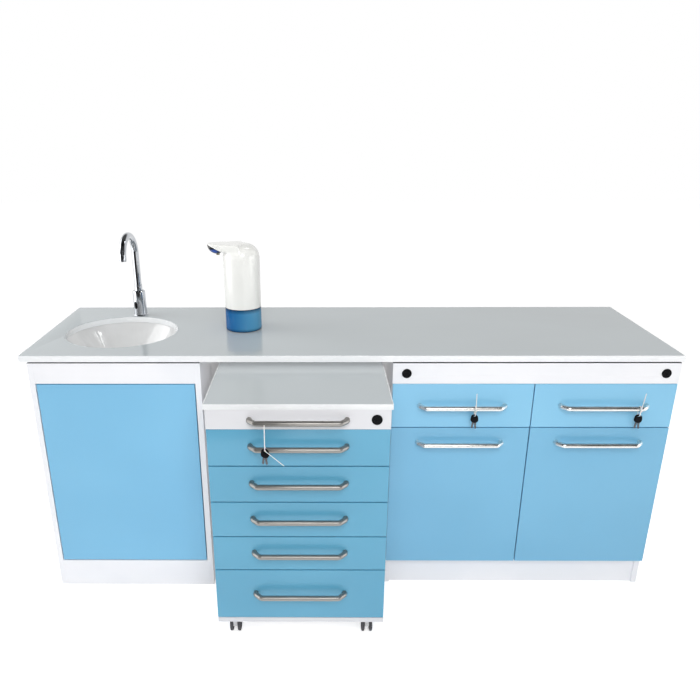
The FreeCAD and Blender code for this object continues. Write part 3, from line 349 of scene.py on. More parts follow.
def housing_plastic():
    """Gloss-moulded white ABS: warm white, very smooth, with faint mould flow."""
    return plain_finish("gloss_white_abs", ("FBFBF7", "F7F7F3"), (90, 90, 120),
                        [((40, 40, 70), 0.02, 0.0)], (0.14, 0.22), (40, 40, 40), 1.0, IOR=1.53,
                        Coat_Weight=0.3, Coat_Roughness=0.08)


def smoked_lens(name, centre, reach):
    """Smoked acrylic: black at the rim, with a painted highlight of blue in the middle."""
    material, tree, coords, shader = blank_finish(name, IOR=1.49, Roughness=0.06,
                                                  Coat_Weight=0.5, Coat_Roughness=0.03)
    scale = [1 / r for r in reach]
    place = put(tree, "ShaderNodeMapping",
                {"Location": [-c * s for c, s in zip(centre, scale)], "Scale": scale},
                {"Vector": (coords, "Object")})
    # Painted highlight: a ball-shaped blend from black at the rim to blue in the middle.
    glow = put(tree, "ShaderNodeTexGradient", links={"Vector": (place, "Vector")},
               gradient_type="SPHERICAL")
    mix = put(tree, "ShaderNodeMix", {TONE_A: linear("03050C"), TONE_B: linear("3A74EE")},
              {SHARE: (glow, "Fac")}, data_type="RGBA")
    tree.links.new(mix.outputs[MIXED], shader.inputs["Base Color"])
    relief(tree, coords, shader, [((8, 8, 8), 0.01, 0.0)])
    return material


def nozzle_silicone():
    """Moulded silicone spout: dull olive grey, slightly translucent."""
    return plain_finish("grey_silicone", ("8E8C74", "A3A18C"), (4, 4, 4),
                        [((1.0, 1.0, 1.0), 0.02, 1.0)], (0.4, 0.55), (3, 3, 3), IOR=1.43,
                        Subsurface_Weight=0.1, Subsurface_Scale=1.5 * MM)


WHITE_PRINT = ("F9F9FC", "F3F4F8")
GLASS = back_painted_glass()
EDGING = white_edge_strip("white_abs_edging", ("FBFCFD", "F6F8FA"))
RING = cutout_edging()
# Darker copy of the edging, for the pedestal's top: painted shade.
SHADED_PEDESTAL_EDGING = white_edge_strip("white_abs_edging_painted_shade", ("EFF1F2", "E9EBED"))
MELAMINE = white_melamine("white_melamine", WHITE_PRINT)
# Cabinet boards, painted dark along their top edges: painted shade under the worktop.
CABINET_MELAMINE = white_melamine("white_melamine_painted_gap_shade", WHITE_PRINT, cabinet_top - 0.2 * MM)
# Darker copy of the melamine, for the pedestal's boards: painted shade.
SHADED_PEDESTAL_MELAMINE = white_melamine("white_melamine_painted_shade", ("E4E4E7", "DEDEE2"))
BLUE = blue_lacquer("light_blue_lacquer", ("8DCDEE", "88C8EA"))
# Darker copies of the drawers' lacquer, for the sink door, the storage doors and the pedestal's
# fronts: painted shade. The pedestal's copy is greener as well.
SHADED_SINK_BLUE = blue_lacquer("sink_door_lacquer_painted_shade", ("7EC1E5", "79BCE1"))
SHADED_DOOR_BLUE = blue_lacquer("door_lacquer_painted_shade", ("7DBEE1", "78B9DC"))
SHADED_PEDESTAL_BLUE = blue_lacquer("teal_lacquer_painted_shade", ("62AACA", "5DA4C4"))
DRAWER_BOARD = white_drawer_board()
CERAMIC = glazed_ceramic()
PIPE = pipe_plastic()
CHROME = chrome_plate()
ALUMINIUM = brushed_bar("satin_anodised_aluminium", ("E9E7E4", "DCDAD7"), (0.2, 0.3))
# Darker copy of the bar metal, for the pedestal's bars: painted shade and painted dark reflection.
SHADED_BAR_METAL = brushed_bar("satin_bar_metal_painted_shade", ("9F9C98", "93908C"), (0.38, 0.46))
BLACK_ZINC = black_zinc()
ZINC = zinc_steel()
KEY_STEEL = key_steel()
KEY_HEAD = black_key_plastic()
NYLON = clear_nylon()
CASTER = caster_nylon()
TREAD = wheel_tread()
TANK = tank_plastic()
SOAP = soap_liquid()
HOUSING = housing_plastic()
SILICONE = nozzle_silicone()


# ---- Pieces ---------------------------------------------------------------------------
SMOOTH_UNDER = math.radians(21)     # wider turns between faces stay crisp edges
FLAT_OVER = 0.002                   # many-sided faces over this area, in square metres, are flat
CORNER = 40                         # degrees; a wider turn is a corner, which gets eased


def shape(name, bm):
    """Object of finished mesh work, in the scene."""
    mesh = bpy.data.meshes.new(name)
    bm.to_mesh(mesh)
    bm.free()
    made = bpy.data.objects.new(name, mesh)
    bpy.context.scene.collection.objects.link(made)
    return made


def piece(name, bm, finish, body, slot, *nodes):
    """Turn finished mesh work into a piece that rides on a body and may replace nodes."""
    made = shape(name, bm)
    made.data.shade_smooth()
    for polygon in made.data.polygons:
        if len(polygon.vertices) > 4 and polygon.area > FLAT_OVER:
            polygon.use_smooth = False
    made.data.set_sharp_from_angle(angle=SMOOTH_UNDER)
    made.data.materials.append(finish)
    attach(made, body)
    if nodes:
        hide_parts(*nodes)


def join(bm, part):
    """Move one bmesh's shape into another and free it."""
    mesh = bpy.data.meshes.new("part")
    part.to_mesh(mesh)
    part.free()
    bm.from_mesh(mesh)
    bpy.data.meshes.remove(mesh)


def points_in(geom):
    """Vertices among what an operator made."""
    return [g for g in geom if isinstance(g, bmesh.types.BMVert)]


def edges_in(geom):
    """Edges among what an operator made."""
    return [g for g in geom if isinstance(g, bmesh.types.BMEdge)]


def closed(bm):
    """Weld a new shape's doubles and turn its faces outwards."""
    bmesh.ops.remove_doubles(bm, verts=bm.verts, dist=WELD)
    bmesh.ops.recalc_face_normals(bm, faces=bm.faces)
    return bm


def ease_edges(bm, over, ease, steps):
    """Round off the edges that turn by more than some degrees, by so many millimetres."""
    sharp = [e for e in bm.edges if e.calc_face_angle(0) > math.radians(over)]
    bmesh.ops.bevel(bm, geom=sharp, offset=ease * MM, segments=steps, profile=0.5,
                    affect="EDGES", material=-1, clamp_overlap=True)


def thicken(bm, thickness):
    """Give a flat shape its thickness, along Z."""
    grown = bmesh.ops.extrude_face_region(bm, geom=bm.faces[:])["geom"]
    bmesh.ops.translate(bm, verts=points_in(grown), vec=(0, 0, thickness))
    closed(bm)


def cut(bm, place, normal, clear=True):
    """Cut through at a plane and, unless told not to, drop what lies past it."""
    bmesh.ops.bisect_plane(bm, geom=bm.verts[:] + bm.edges[:] + bm.faces[:], plane_co=place,
                           plane_no=normal, clear_outer=clear)


def open_rim(bm):
    """Edges round the open end of a shape."""
    return [e for e in bm.edges if len(e.link_faces) == 1]


def solid_spans(node):
    """First and last-plus-one triangle of each separate solid in a node's mesh. A solid ends
    where every edge so far has met its neighbour's, which runs the other way."""
    mesh = frame["nodes"][node].data
    places = [tuple(round(c, 6) for c in v.co) for v in mesh.vertices]
    spans, start, lone = [], 0, {}
    for index, polygon in enumerate(mesh.polygons):
        ring = [places[i] for i in polygon.vertices]
        for edge in zip(ring, ring[1:] + ring[:1]):
            back = (edge[1], edge[0])
            if edge == back:
                continue
            if lone.get(back):
                lone[back] -= 1
                if not lone[back]:
                    del lone[back]
            else:
                lone[edge] = lone.get(edge, 0) + 1
        if not lone:
            spans.append((start, index + 1))
            start = index + 1
    return spans


def eased(node, picks, ease):
    """Welded copies of a node's picked solids, with their sharp edges eased in millimetres."""
    spans = solid_spans(node)
    out = bmesh.new()
    for start, stop in spans if picks is None else [spans[i] for i in picks]:
        bm = bmesh.new()
        bm.from_mesh(frame["nodes"][node].data)
        bm.faces.ensure_lookup_table()
        bmesh.ops.delete(bm, geom=bm.faces[:start] + bm.faces[stop:], context="FACES")
        bmesh.ops.remove_doubles(bm, verts=bm.verts, dist=WELD)
        bmesh.ops.dissolve_limit(bm, angle_limit=math.radians(0.5), verts=bm.verts,
                                 edges=bm.edges)
        ease_edges(bm, CORNER, ease, steps=2)
        join(out, bm)
    return out


def board(name, node, finish, slot, picks=None, ease=0.6, stands=True):
    """A piece of eased solids of a node, riding on its body; stands for the node or not."""
    piece(name, eased(node, picks, ease), finish, body_of(node), slot,
          *([node] if stands else []))


def lathe(place, outline, count):
    """Full turn of (radius, height, rounding) points, in millimetres, about the Z of place."""
    bm = bmesh.new()
    verts = [bm.verts.new((r * MM, 0, z * MM)) for r, z, _ in outline]
    for pair in zip(verts, verts[1:]):
        bm.edges.new(pair)
    for vert, (_, _, rounding) in zip(verts, outline):
        if rounding:
            bmesh.ops.bevel(bm, geom=[vert], offset=rounding * MM, segments=5, profile=0.5,
                            affect="VERTICES", material=-1)
    bmesh.ops.spin(bm, geom=bm.verts[:] + bm.edges[:], cent=(0, 0, 0), axis=UP,
                   angle=math.tau, steps=count, use_merge=True)
    closed(bm)
    bmesh.ops.transform(bm, matrix=place, verts=bm.verts)
    return bm


def at(x, y, z, along=UP):
    """Place at a point in metres, with Z turned along a direction."""
    return Matrix.Translation((x, y, z)) @ along.to_track_quat("Z", "Y").to_matrix().to_4x4()


def drawn_on(bm, ring, run):
    """Extrude a ring of edges along a run and return the new ring."""
    if run.length < WELD:
        return ring
    made = bmesh.ops.extrude_edge_only(bm, edges=ring)["geom"]
    verts = points_in(made)
    bmesh.ops.translate(bm, verts=verts, vec=run)
    return [e for e in edges_in(made) if e.verts[0] in verts and e.verts[1] in verts]


def bent(bm, ring, points, bend, steps):
    """Carry a ring of edges through the points, straight but for tangent bends."""
    here = points[0]
    for before, corner, after in zip(points, points[1:], points[2:]):
        back = (before - corner).normalized()
        ahead = (after - corner).normalized()
        half = back.angle(ahead) / 2
        reach = bend / math.tan(half)
        ring = drawn_on(bm, ring, corner + back * reach - here)
        pivot = corner + (back + ahead).normalized() * (bend / math.sin(half))
        turned = bmesh.ops.spin(bm, geom=ring, cent=pivot, axis=(-back).cross(ahead),
                                angle=math.pi - 2 * half, steps=steps)["geom_last"]
        ring = edges_in(turned)
        here = corner + ahead * reach
    return drawn_on(bm, ring, points[-1] - here)


def bent_bar(points, bend, radius, count, steps):
    """Closed round bar through the points."""
    bm = bmesh.new()
    made = bmesh.ops.create_circle(bm, radius=radius, segments=count,
                                   matrix=at(*points[0], along=points[1] - points[0]))["verts"]
    first = list({edge for vert in made for edge in vert.link_edges})
    last = bent(bm, first, points, bend, steps)
    for ring in (first, last):
        bmesh.ops.edgeloop_fill(bm, edges=ring)
    return closed(bm)


# ---- Worktops, cabinets and fronts ----------------------------------------------------
# Lists and ranges pick solids of a node, counted in the order in which its mesh holds them.
board("worktop_glass_sheet", "worktop_glass", GLASS, "glass_top", ease=0.8)
board("worktop_core_board", "worktop_board", MELAMINE, "white_panel", [0], 0.4)
board("worktop_edge_strips", "worktop_board", EDGING, "white_edging", [2, 3, 4, 5], 0.9, False)
board("sink_cutout_ring", "worktop_board", RING, "white_edging", [1], 0.3, False)
board("sink_cabinet_boards", "sink_cabinet", CABINET_MELAMINE, "white_panel")
board("storage_cabinet_boards", "storage_cabinet", CABINET_MELAMINE, "white_panel", range(12))
board("shelf_pegs", "storage_cabinet", ZINC, "zinc_steel", range(12, 16), 0.5, False)
board("loose_shelf", "storage_shelf", MELAMINE, "white_panel", ease=0.8)
board("hinge_plates", "door_hinges", ZINC, "zinc_steel", ease=1.5)
board("pedestal_boards", "pedestal_cabinet", SHADED_PEDESTAL_MELAMINE, "white_panel")
board("pedestal_core_board", "pedestal_top", MELAMINE, "white_panel", [0], 0.4)
board("pedestal_edge_strips", "pedestal_top", SHADED_PEDESTAL_EDGING, "white_edging", range(1, 5), 0.9,
      False)
board("pedestal_glass_sheet", "pedestal_top", GLASS, "glass_top", [5], 0.8, False)
board("sink_door_panel", "sink_door", SHADED_SINK_BLUE, "blue_front", ease=1.2)
for side in ("left", "right"):
    board("storage_door_%s_panel" % side, "storage_door_" + side, SHADED_DOOR_BLUE, "blue_front",
          ease=1.2)
    board("storage_drawer_%s_panel" % side, "storage_drawer_%s_front" % side, BLUE,
          "blue_front", ease=1.2)
for row in range(1, 6):
    board("pedestal_drawer_%d_panel" % row, "pedestal_drawer_%d_front" % row, SHADED_PEDESTAL_BLUE,
          "blue_front", ease=1.2)

DRAWERS = (["storage_drawer_left", "storage_drawer_right"]
           + ["pedestal_drawer_%d" % row for row in range(1, 6)])
for drawer in DRAWERS:
    box = drawer + "_box"
    board(drawer + "_boards", box, DRAWER_BOARD, "drawer_box_white", range(5), 0.8)
    board(drawer + "_steel", box, ZINC, "zinc_steel", (5, 6, 7), 0.6, False)
board("storage_fixed_runners", "storage_drawer_rails", ZINC, "zinc_steel")
board("pedestal_fixed_runners", "pedestal_drawer_rails", ZINC, "zinc_steel")


# ---- Bow handles ----------------------------------------------------------------------
HANDLE_RADIUS = 8 * MM
HANDLE_FEET = 134 * MM              # from the middle to a foot's centre
HANDLE_GRIP = 116 * MM              # from the middle to a corner of the grip
HANDLE_FOOT = 9 * MM                # straight run off the front
HANDLE_BEND = 12 * MM


def bow_handle(name, node, finish):
    """Bent bar with two feet on the front, in the place of its node."""
    low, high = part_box(node)
    x, _, z = middle(node)
    face, grip = high.y, low.y + HANDLE_RADIUS
    points = [Vector((x + dx, y, z)) for dx, y in (
        (-HANDLE_FEET, face), (-HANDLE_FEET, face - HANDLE_FOOT), (-HANDLE_GRIP, grip),
        (HANDLE_GRIP, grip), (HANDLE_FEET, face - HANDLE_FOOT), (HANDLE_FEET, face))]
    piece(name, bent_bar(points, HANDLE_BEND, HANDLE_RADIUS, 32, 8), finish,
          body_of(node), "satin_aluminium", node)


for side in ("left", "right"):
    bow_handle("door_bow_" + side, "storage_door_%s_handle" % side, ALUMINIUM)
for drawer in DRAWERS:
    bow_handle(drawer + "_bow", drawer + "_handle",
               ALUMINIUM if drawer.startswith("storage") else SHADED_BAR_METAL)
bow_handle("pedestal_pull_bow", "pedestal_pull_handle", SHADED_BAR_METAL)


# ---- Sink and waste -------------------------------------------------------------------
board("sink_bowl", "sink_basin", CERAMIC, "basin_white", ease=1.0)
board("drain_strainer", "sink_waste", CHROME, "chrome", [0], 0.5)
board("waste_pipes", "sink_waste", PIPE, "waste_plastic", [1, 2, 3], 0.5, False)


# ---- Faucet ---------------------------------------------------------------------------
TAP_FOOT = 27 * MM                  # radius of the tap's foot
TAP_OUTLINE = [
    (0, -50, 0), (14, -50, 0.8), (14, 0, 0), (27, 0, 0.6), (27, 4, 1.8), (24, 4, 0.8),
    (23.4, 40, 0), (22.8, 90, 1.2), (19.5, 94, 1.6), (10.1, 94, 0.6), (10.1, 64, 0), (0, 64, 0)]
COLLAR_OUTLINE = [
    (0, 0, 0), (14, 0, 0), (14, 16, 0.4), (13.2, 16.6, 0), (14, 17.2, 0.4), (14, 22, 0.8),
    (12.6, 22, 0), (0, 22, 0)]
PIVOT_OUTLINE = [(0, -30, 0), (10, -30, 0.5), (10, 0, 0), (0, 0, 0)]
AERATOR_OUTLINE = [
    (0, 0, 0), (12.3, 0, 0.3), (12.3, 0.8, 0), (11.8, 1.2, 0), (12.5, 1.6, 0), (12.5, 6, 0.9),
    (9.6, 6, 0.5), (9.6, 3, 0), (0, 3, 0)]
SPOUT_RADIUS = 12.5 * MM
SPOUT_REACH = 140 * MM
SPOUT_BEND = 69.9 * MM              # a hair under half the reach, so that an arch is left
MOUTH_HEIGHT = 226 * MM
AERATOR_LENGTH = 6 * MM
WINDOW_HALF = (8 * MM, 17 * MM, 4 * MM)
WINDOW_HEIGHT = 40 * MM
WINDOW_OUT = 21 * MM                # its middle from the tap's axis
WINDOW_TURN = math.radians(-25)

base_low, base_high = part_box("faucet_base")
tap_x, tap_y = base_low.x + TAP_FOOT, base_low.y + TAP_FOOT
bowl_x, bowl_y = middle("sink_basin")[:2]
to_bowl = Vector((bowl_x - tap_x, bowl_y - tap_y, 0)).normalized()
piece("faucet_body", lathe(at(tap_x, tap_y, deck), TAP_OUTLINE, 96), CHROME, "cabinet_run",
      "chrome", "faucet_base")
board("faucet_nut_and_tail", "faucet_base", ZINC, "zinc_steel", [2, 3], 0.6, False)


def gooseneck():
    """Bent tube on its collar, with a ringed aerator at the mouth."""
    foot = Vector((tap_x, tap_y, base_high.z))
    crown = Vector((tap_x, tap_y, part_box("faucet_spout")[1].z - SPOUT_RADIUS))
    reach = to_bowl * SPOUT_REACH
    end = Vector((tap_x, tap_y, deck + MOUTH_HEIGHT + AERATOR_LENGTH)) + reach
    bm = bent_bar([foot, crown, crown + reach, end], SPOUT_BEND, SPOUT_RADIUS, 48, 24)
    join(bm, lathe(at(*foot), COLLAR_OUTLINE, 64))
    join(bm, lathe(at(*foot), PIVOT_OUTLINE, 32))
    piece("faucet_gooseneck", bm, CHROME, "faucet_spout", "chrome", "faucet_spout")
    piece("faucet_aerator", lathe(at(*end, along=-UP), AERATOR_OUTLINE, 64), CHROME,
          "faucet_spout", "chrome")


def sensor_window():
    """Smoked oval in the tap body, facing past the bowl."""
    bm = bmesh.new()
    bmesh.ops.create_uvsphere(bm, u_segments=48, v_segments=32, radius=1.0)
    ahead = to_bowl.copy()
    ahead.rotate(Matrix.Rotation(WINDOW_TURN, 3, "Z"))
    place = (at(tap_x, tap_y, deck + WINDOW_HEIGHT, along=ahead)
             @ Matrix.Translation((0, 0, WINDOW_OUT)))
    bmesh.ops.transform(bm, matrix=place @ Matrix.Diagonal((*WINDOW_HALF, 1)), verts=bm.verts)
    piece("faucet_window", bm, BLACK_ZINC, "cabinet_run", "black_lock")


gooseneck()
sensor_window()


# ---- Locks ----------------------------------------------------------------------------
LOCK_RADIUS = 15                    # millimetres, as all of a lock's sizes are
PLATE_DEPTH = 2.5
BORE_RADIUS = 8.05
BARREL_RADIUS = 10
THREAD_DEPTH = 0.5
THREAD_PITCH = 2
STORAGE_BARREL, PEDESTAL_BARREL = 21, 25
PLATE_OUTLINE = [
    (BORE_RADIUS, 0.4, 0), (8.9, 0, 0.3), (12.2, 0, 0.2), (12.6, 0.5, 0), (13, 0, 0.2),
    (14.4, 0, 0.5), (LOCK_RADIUS, 0.8, 0.3), (LOCK_RADIUS, PLATE_DEPTH, 0)]


def lock_face(bm, centre, reach):
    """Round face plate with a turned ring, on a threaded barrel that runs through."""
    outline = PLATE_OUTLINE[:]
    for turn in range(reach // THREAD_PITCH):
        crest = PLATE_DEPTH + THREAD_PITCH * turn
        outline += [(BARREL_RADIUS, crest, 0),
                    (BARREL_RADIUS - THREAD_DEPTH, crest + THREAD_PITCH / 2, 0)]
    outline += [(BARREL_RADIUS, PLATE_DEPTH + reach, 0), (BORE_RADIUS, PLATE_DEPTH + reach, 0),
                PLATE_OUTLINE[0]]
    join(bm, lathe(at(*centre, along=TO_WALL), outline, 72))


def locks():
    """Face plates and cores of the three cam locks."""
    low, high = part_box("storage_lock_bodies")
    z = middle("storage_lock_bodies")[2]
    bm = bmesh.new()
    for x in (low.x + LOCK_RADIUS * MM, high.x - LOCK_RADIUS * MM):
        lock_face(bm, (x, low.y, z), STORAGE_BARREL)
    piece("storage_lock_faces", bm, BLACK_ZINC, body_of("storage_lock_bodies"), "black_lock",
          "storage_lock_bodies")
    x, _, z = middle("pedestal_lock_body")
    bm = bmesh.new()
    lock_face(bm, (x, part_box("pedestal_lock_body")[0].y, z), PEDESTAL_BARREL)
    piece("pedestal_lock_face", bm, BLACK_ZINC, "pedestal", "black_lock", "pedestal_lock_body")
    for core in ("storage_lock_core_left", "storage_lock_core_right", "pedestal_lock_core"):
        board(core + "_plug", core, BLACK_ZINC, "black_lock", [0], 0.4)
        board(core + "_tongue", core, ZINC, "zinc_steel", [1], 0.6, False)
    board("pedestal_locking_bar", "pedestal_lock_bar", ZINC, "zinc_steel", ease=0.4)


locks()


# ---- Casters --------------------------------------------------------------------------
WHEEL_OUTLINE = [                   # dished centre, tread and hub, from the outer face in
    (4.06, 2.5, 0.4), (8, 2.2, 0.6), (9.5, 4, 0.8), (22, 3.2, 0.8), (23.5, 0.6, 0.5),
    (26, 0.1, 0.5), (30, 1.5, 1.4), (30, 9, 1.4), (26, 10.4, 0.5), (23, 9.6, 0.5),
    (21, 8, 0.5), (9, 8, 0.5), (7, 10.5, 0.4), (4.06, 10.5, 0), (4.06, 2.5, 0)]

for place in ("front_left", "front_right", "rear_left", "rear_right"):
    wheels = "caster_%s_wheels" % place
    low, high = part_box(wheels)
    treads = bmesh.new()
    for x, inwards in ((low.x, ACROSS), (high.x, -ACROSS)):
        join(treads, lathe(at(x, *middle(wheels)[1:], along=inwards), WHEEL_OUTLINE, 64))
    piece("caster_%s_treads" % place, treads, TREAD, body_of(wheels), "wheel_grey", wheels)
    board("caster_%s_fork" % place, "caster_%s_frame" % place, CASTER, "caster_grey", ease=0.8)


# ---- Keys on nylon ties ---------------------------------------------------------------
KEY_FAN = 7                         # degrees that each key leans out sideways
HEAD_RADIUS = 10 * MM
HEAD_STRETCH = 3.5 * MM             # half the straight run between its round ends
EYE_RADIUS = 2.5 * MM
EYE_STRETCH = 1.5 * MM
EYE_RISE = 8.4 * MM                 # the eye's centre above the head's
BLADE_WIDTH = 7 * MM
BLADE_LENGTH = 20 * MM              # what shows below the head
BLADE_ROOT = 10.5 * MM              # where the blade starts, inside the head
BLADE_THICKNESS = 2.2 * MM
BITTING = (1.6, 0.6, 1.8, 1.1, 2.0, 0.5, 1.3)   # depths of the cuts, in millimetres
TIP_SHARE = 0.45                    # of the blade's width, left at its tip


def stood_up(bm, centre, lean):
    """Stand a flat shape up at a point, leaning sideways by some degrees."""
    place = (Matrix.Translation(centre) @ Matrix.Rotation(math.radians(lean), 4, "Y")
             @ Matrix.Rotation(math.pi / 2, 4, "X"))
    bmesh.ops.transform(bm, matrix=place, verts=bm.verts)
    return bm


def key_head(centre, thickness, lean):
    """Moulded key head with a slotted eye, rounded all along its rims."""
    bm = bmesh.new()
    outer = bmesh.ops.create_circle(bm, radius=HEAD_RADIUS, segments=48)["verts"]
    inner = bmesh.ops.create_circle(bm, radius=EYE_RADIUS, segments=48)["verts"]
    for vert in outer:
        vert.co.y += HEAD_STRETCH if vert.co.y > 0 else -HEAD_STRETCH
    for vert in inner:
        vert.co.x += EYE_STRETCH if vert.co.x > 0 else -EYE_STRETCH
    bmesh.ops.translate(bm, verts=inner, vec=(0, EYE_RISE, 0))
    bmesh.ops.bridge_loops(bm, edges=bm.edges[:])
    thicken(bm, thickness)
    ease_edges(bm, over=60, ease=0.6, steps=3)
    return stood_up(bm, centre, lean)


def key_blade(centre, lean):
    """Flat blade with bitting cut in one edge, tapering to its tip, under a key head's centre."""
    length = BLADE_LENGTH + HEAD_RADIUS + HEAD_STRETCH - BLADE_ROOT
    bm = bmesh.new()
    bmesh.ops.create_grid(bm, x_segments=1, y_segments=10, size=0.5)
    for vert in bm.verts:
        vert.co.x *= BLADE_WIDTH
        vert.co.y = (vert.co.y - 0.5) * length - BLADE_ROOT
    right = sorted((v for v in bm.verts if v.co.x > 0), key=lambda v: v.co.y)
    for vert, depth in zip(right[1:8], BITTING):
        vert.co.x -= depth * MM
    for vert in (right[0], min((v for v in bm.verts if v.co.x < 0), key=lambda v: v.co.y)):
        vert.co.x *= TIP_SHARE
    thicken(bm, BLADE_THICKNESS)
    bmesh.ops.translate(bm, verts=bm.verts, vec=(0, 0, -BLADE_THICKNESS / 2))
    ease_edges(bm, over=60, ease=0.25, steps=2)
    return stood_up(bm, centre, lean)


def span_box(node, index):
    """Lowest and highest corner of one solid of a node."""
    start, stop = solid_spans(node)[index]
    mesh = frame["nodes"][node].data
    spots = [mesh.vertices[i].co for p in mesh.polygons[start:stop] for i in p.vertices]
    return (Vector([min(s[k] for s in spots) for k in range(3)]),
            Vector([max(s[k] for s in spots) for k in range(3)]))


def key_set(name, node, first):
    """Two keys and their tie, in a node's place; first is the first key head's solid."""
    heads, blades = bmesh.new(), bmesh.new()
    for index, lean in ((first, KEY_FAN), (first + 2, -KEY_FAN)):
        low, high = span_box(node, index)
        centre = (low + high) / 2
        join(heads, key_head(Vector((centre.x, high.y, centre.z)), high.y - low.y, lean))
        join(blades, key_blade(centre, lean))
    body = body_of(node)
    piece(name + "_heads", heads, KEY_HEAD, body, "key_steel", node)
    piece(name + "_blades", blades, KEY_STEEL, body, "key_steel")
    board(name + "_tie", node, NYLON, "key_steel", range(first), 0.25, False)


key_set("storage_left_keys", "storage_left_key_set", 3)
key_set("storage_right_keys", "storage_right_key_set", 3)
key_set("pedestal_keys", "pedestal_key_set", 5)


# ---- Soap dispenser -------------------------------------------------------------------
TANK_OUTLINE = [
    (0, 0, 0), (59, 0, 0), (62, 2.5, 1.5), (62, 78, 0.9), (30, 79, 0.6), (30, 97, 0.5),
    (27, 97, 0.5), (27, 76, 1.0), (59, 76, 2.0), (59, 3, 3.0), (0, 3, 0)]
SOAP_OUTLINE = [(0, 3.2, 0), (58.8, 3.2, 3.0), (58.8, 66, 0.4), (57.5, 65.2, 0), (0, 65, 0)]
NOZZLE_OUTLINE = [
    (0, 1.5, 0), (2.2, 1.5, 0), (2.6, 0, 0.3), (5, 0, 0.8), (6, 2.5, 0.6), (6, 16, 0),
    (0, 16, 0)]
SHELL_RADIUS = 62                   # millimetres, outside
SHELL_BORE = 59                     # millimetres, inside
CROWN_ROUNDING = 45                 # millimetres
SKIRT = 6                           # millimetres below the seam that are cut off again
ARM_REACH = 113 * MM                # beak's tip from the body's centre
ARM_TIP = 29 * MM                   # half the arm's width at its round tip
ARM_ROOT = 56 * MM                  # half its width where it runs into the body
BEAK_LENGTH = 56 * MM               # stretch whose underside slopes up to the tip
BEAK_EDGE = 4                       # millimetres thick at the tip
BEAK_SLOPE = 22                     # millimetres that the underside falls to the root
SKIN_VOXEL = 1.5 * MM
JUNCTION_DEPTH = 46 * MM            # how far below the top the arm's joint with the body goes
FOOT_GAP = 2.3 * MM                 # above the seam, where the skin is cut straight
LIP = 2 * MM                        # straight wall below that cut
HOLLOW_DEPTH = 48 * MM              # from the top down to the hollow's ceiling
LENS_REACH = 30 * MM
LENS_DEPTH = 21 * MM
LENS_DROP = 13 * MM                 # its flat face's middle below the housing's top
# Where the lens's painted highlight sits, from the lens's middle, and how far it reaches.
PAINTED_HIGHLIGHT_OFFSET = (-1 * MM, -18 * MM, -9 * MM)
PAINTED_HIGHLIGHT_REACH = (20 * MM, 18 * MM, 9 * MM)
NOZZLE_REACH = 78 * MM              # from the body's centre
NOZZLE_DROP = 39 * MM


def tank():
    """Clear tank with rounded edges and a screw neck, and the soap in it."""
    place = at(soap_x, soap_y, tank_low.z)
    piece("soap_tank", lathe(place, TANK_OUTLINE, 96), TANK, "dispenser", "tank_blue",
          "dispenser_tank")
    piece("soap_fill", lathe(place, SOAP_OUTLINE, 96), SOAP, "dispenser", "tank_blue")


def beak():
    """Flat arm, wide at its root and round at its tip, its underside sloping up to the tip."""
    tip_x = soap_x - ARM_REACH
    bm = bmesh.new()
    for x, reach in ((tip_x + ARM_TIP, ARM_TIP), (soap_x, ARM_ROOT)):
        bmesh.ops.create_circle(bm, radius=reach, segments=96,
                                matrix=at(x, soap_y, housing_top))
    hull = bmesh.ops.convex_hull(bm, input=bm.verts)
    bmesh.ops.delete(bm, geom=hull["geom_interior"] + hull["geom_unused"], context="VERTS")
    bmesh.ops.dissolve_limit(bm, angle_limit=math.radians(1), verts=bm.verts, edges=bm.edges)
    cut(bm, (tip_x + BEAK_LENGTH, 0, 0), ACROSS, clear=False)
    cut(bm, (soap_x, 0, 0), ACROSS)
    grown = bmesh.ops.extrude_face_region(bm, geom=bm.faces[:])["geom"]
    for vert in points_in(grown):
        slope = min(1.0, (vert.co.x - tip_x) / BEAK_LENGTH)
        vert.co.z = housing_top - (BEAK_EDGE + BEAK_SLOPE * slope) * MM
    closed(bm)
    ease_edges(bm, over=50, ease=1.6, steps=4)
    return bm


def skinned(*works):
    """One closed skin over two shapes that overlap."""
    body, other = [shape("overlapping_shape", work) for work in works]
    union = body.modifiers.new("join", "BOOLEAN")
    union.operation = "UNION"
    union.object = other
    union.solver = "EXACT"
    remesh = body.modifiers.new("fuse", "REMESH")
    remesh.mode = "VOXEL"
    remesh.voxel_size = SKIN_VOXEL
    skin = bpy.data.meshes.new_from_object(
        body.evaluated_get(bpy.context.evaluated_depsgraph_get()))
    for made in (body, other):
        bpy.data.objects.remove(made)
    bm = bmesh.new()
    bm.from_mesh(skin)
    bpy.data.meshes.remove(skin)
    return bm


def relax(bm, verts, times):
    """Smooth vertices towards their neighbours a number of times."""
    for _ in range(times):
        bmesh.ops.smooth_vert(bm, verts=verts, factor=0.5, use_axis_x=True, use_axis_y=True,
                              use_axis_z=True)


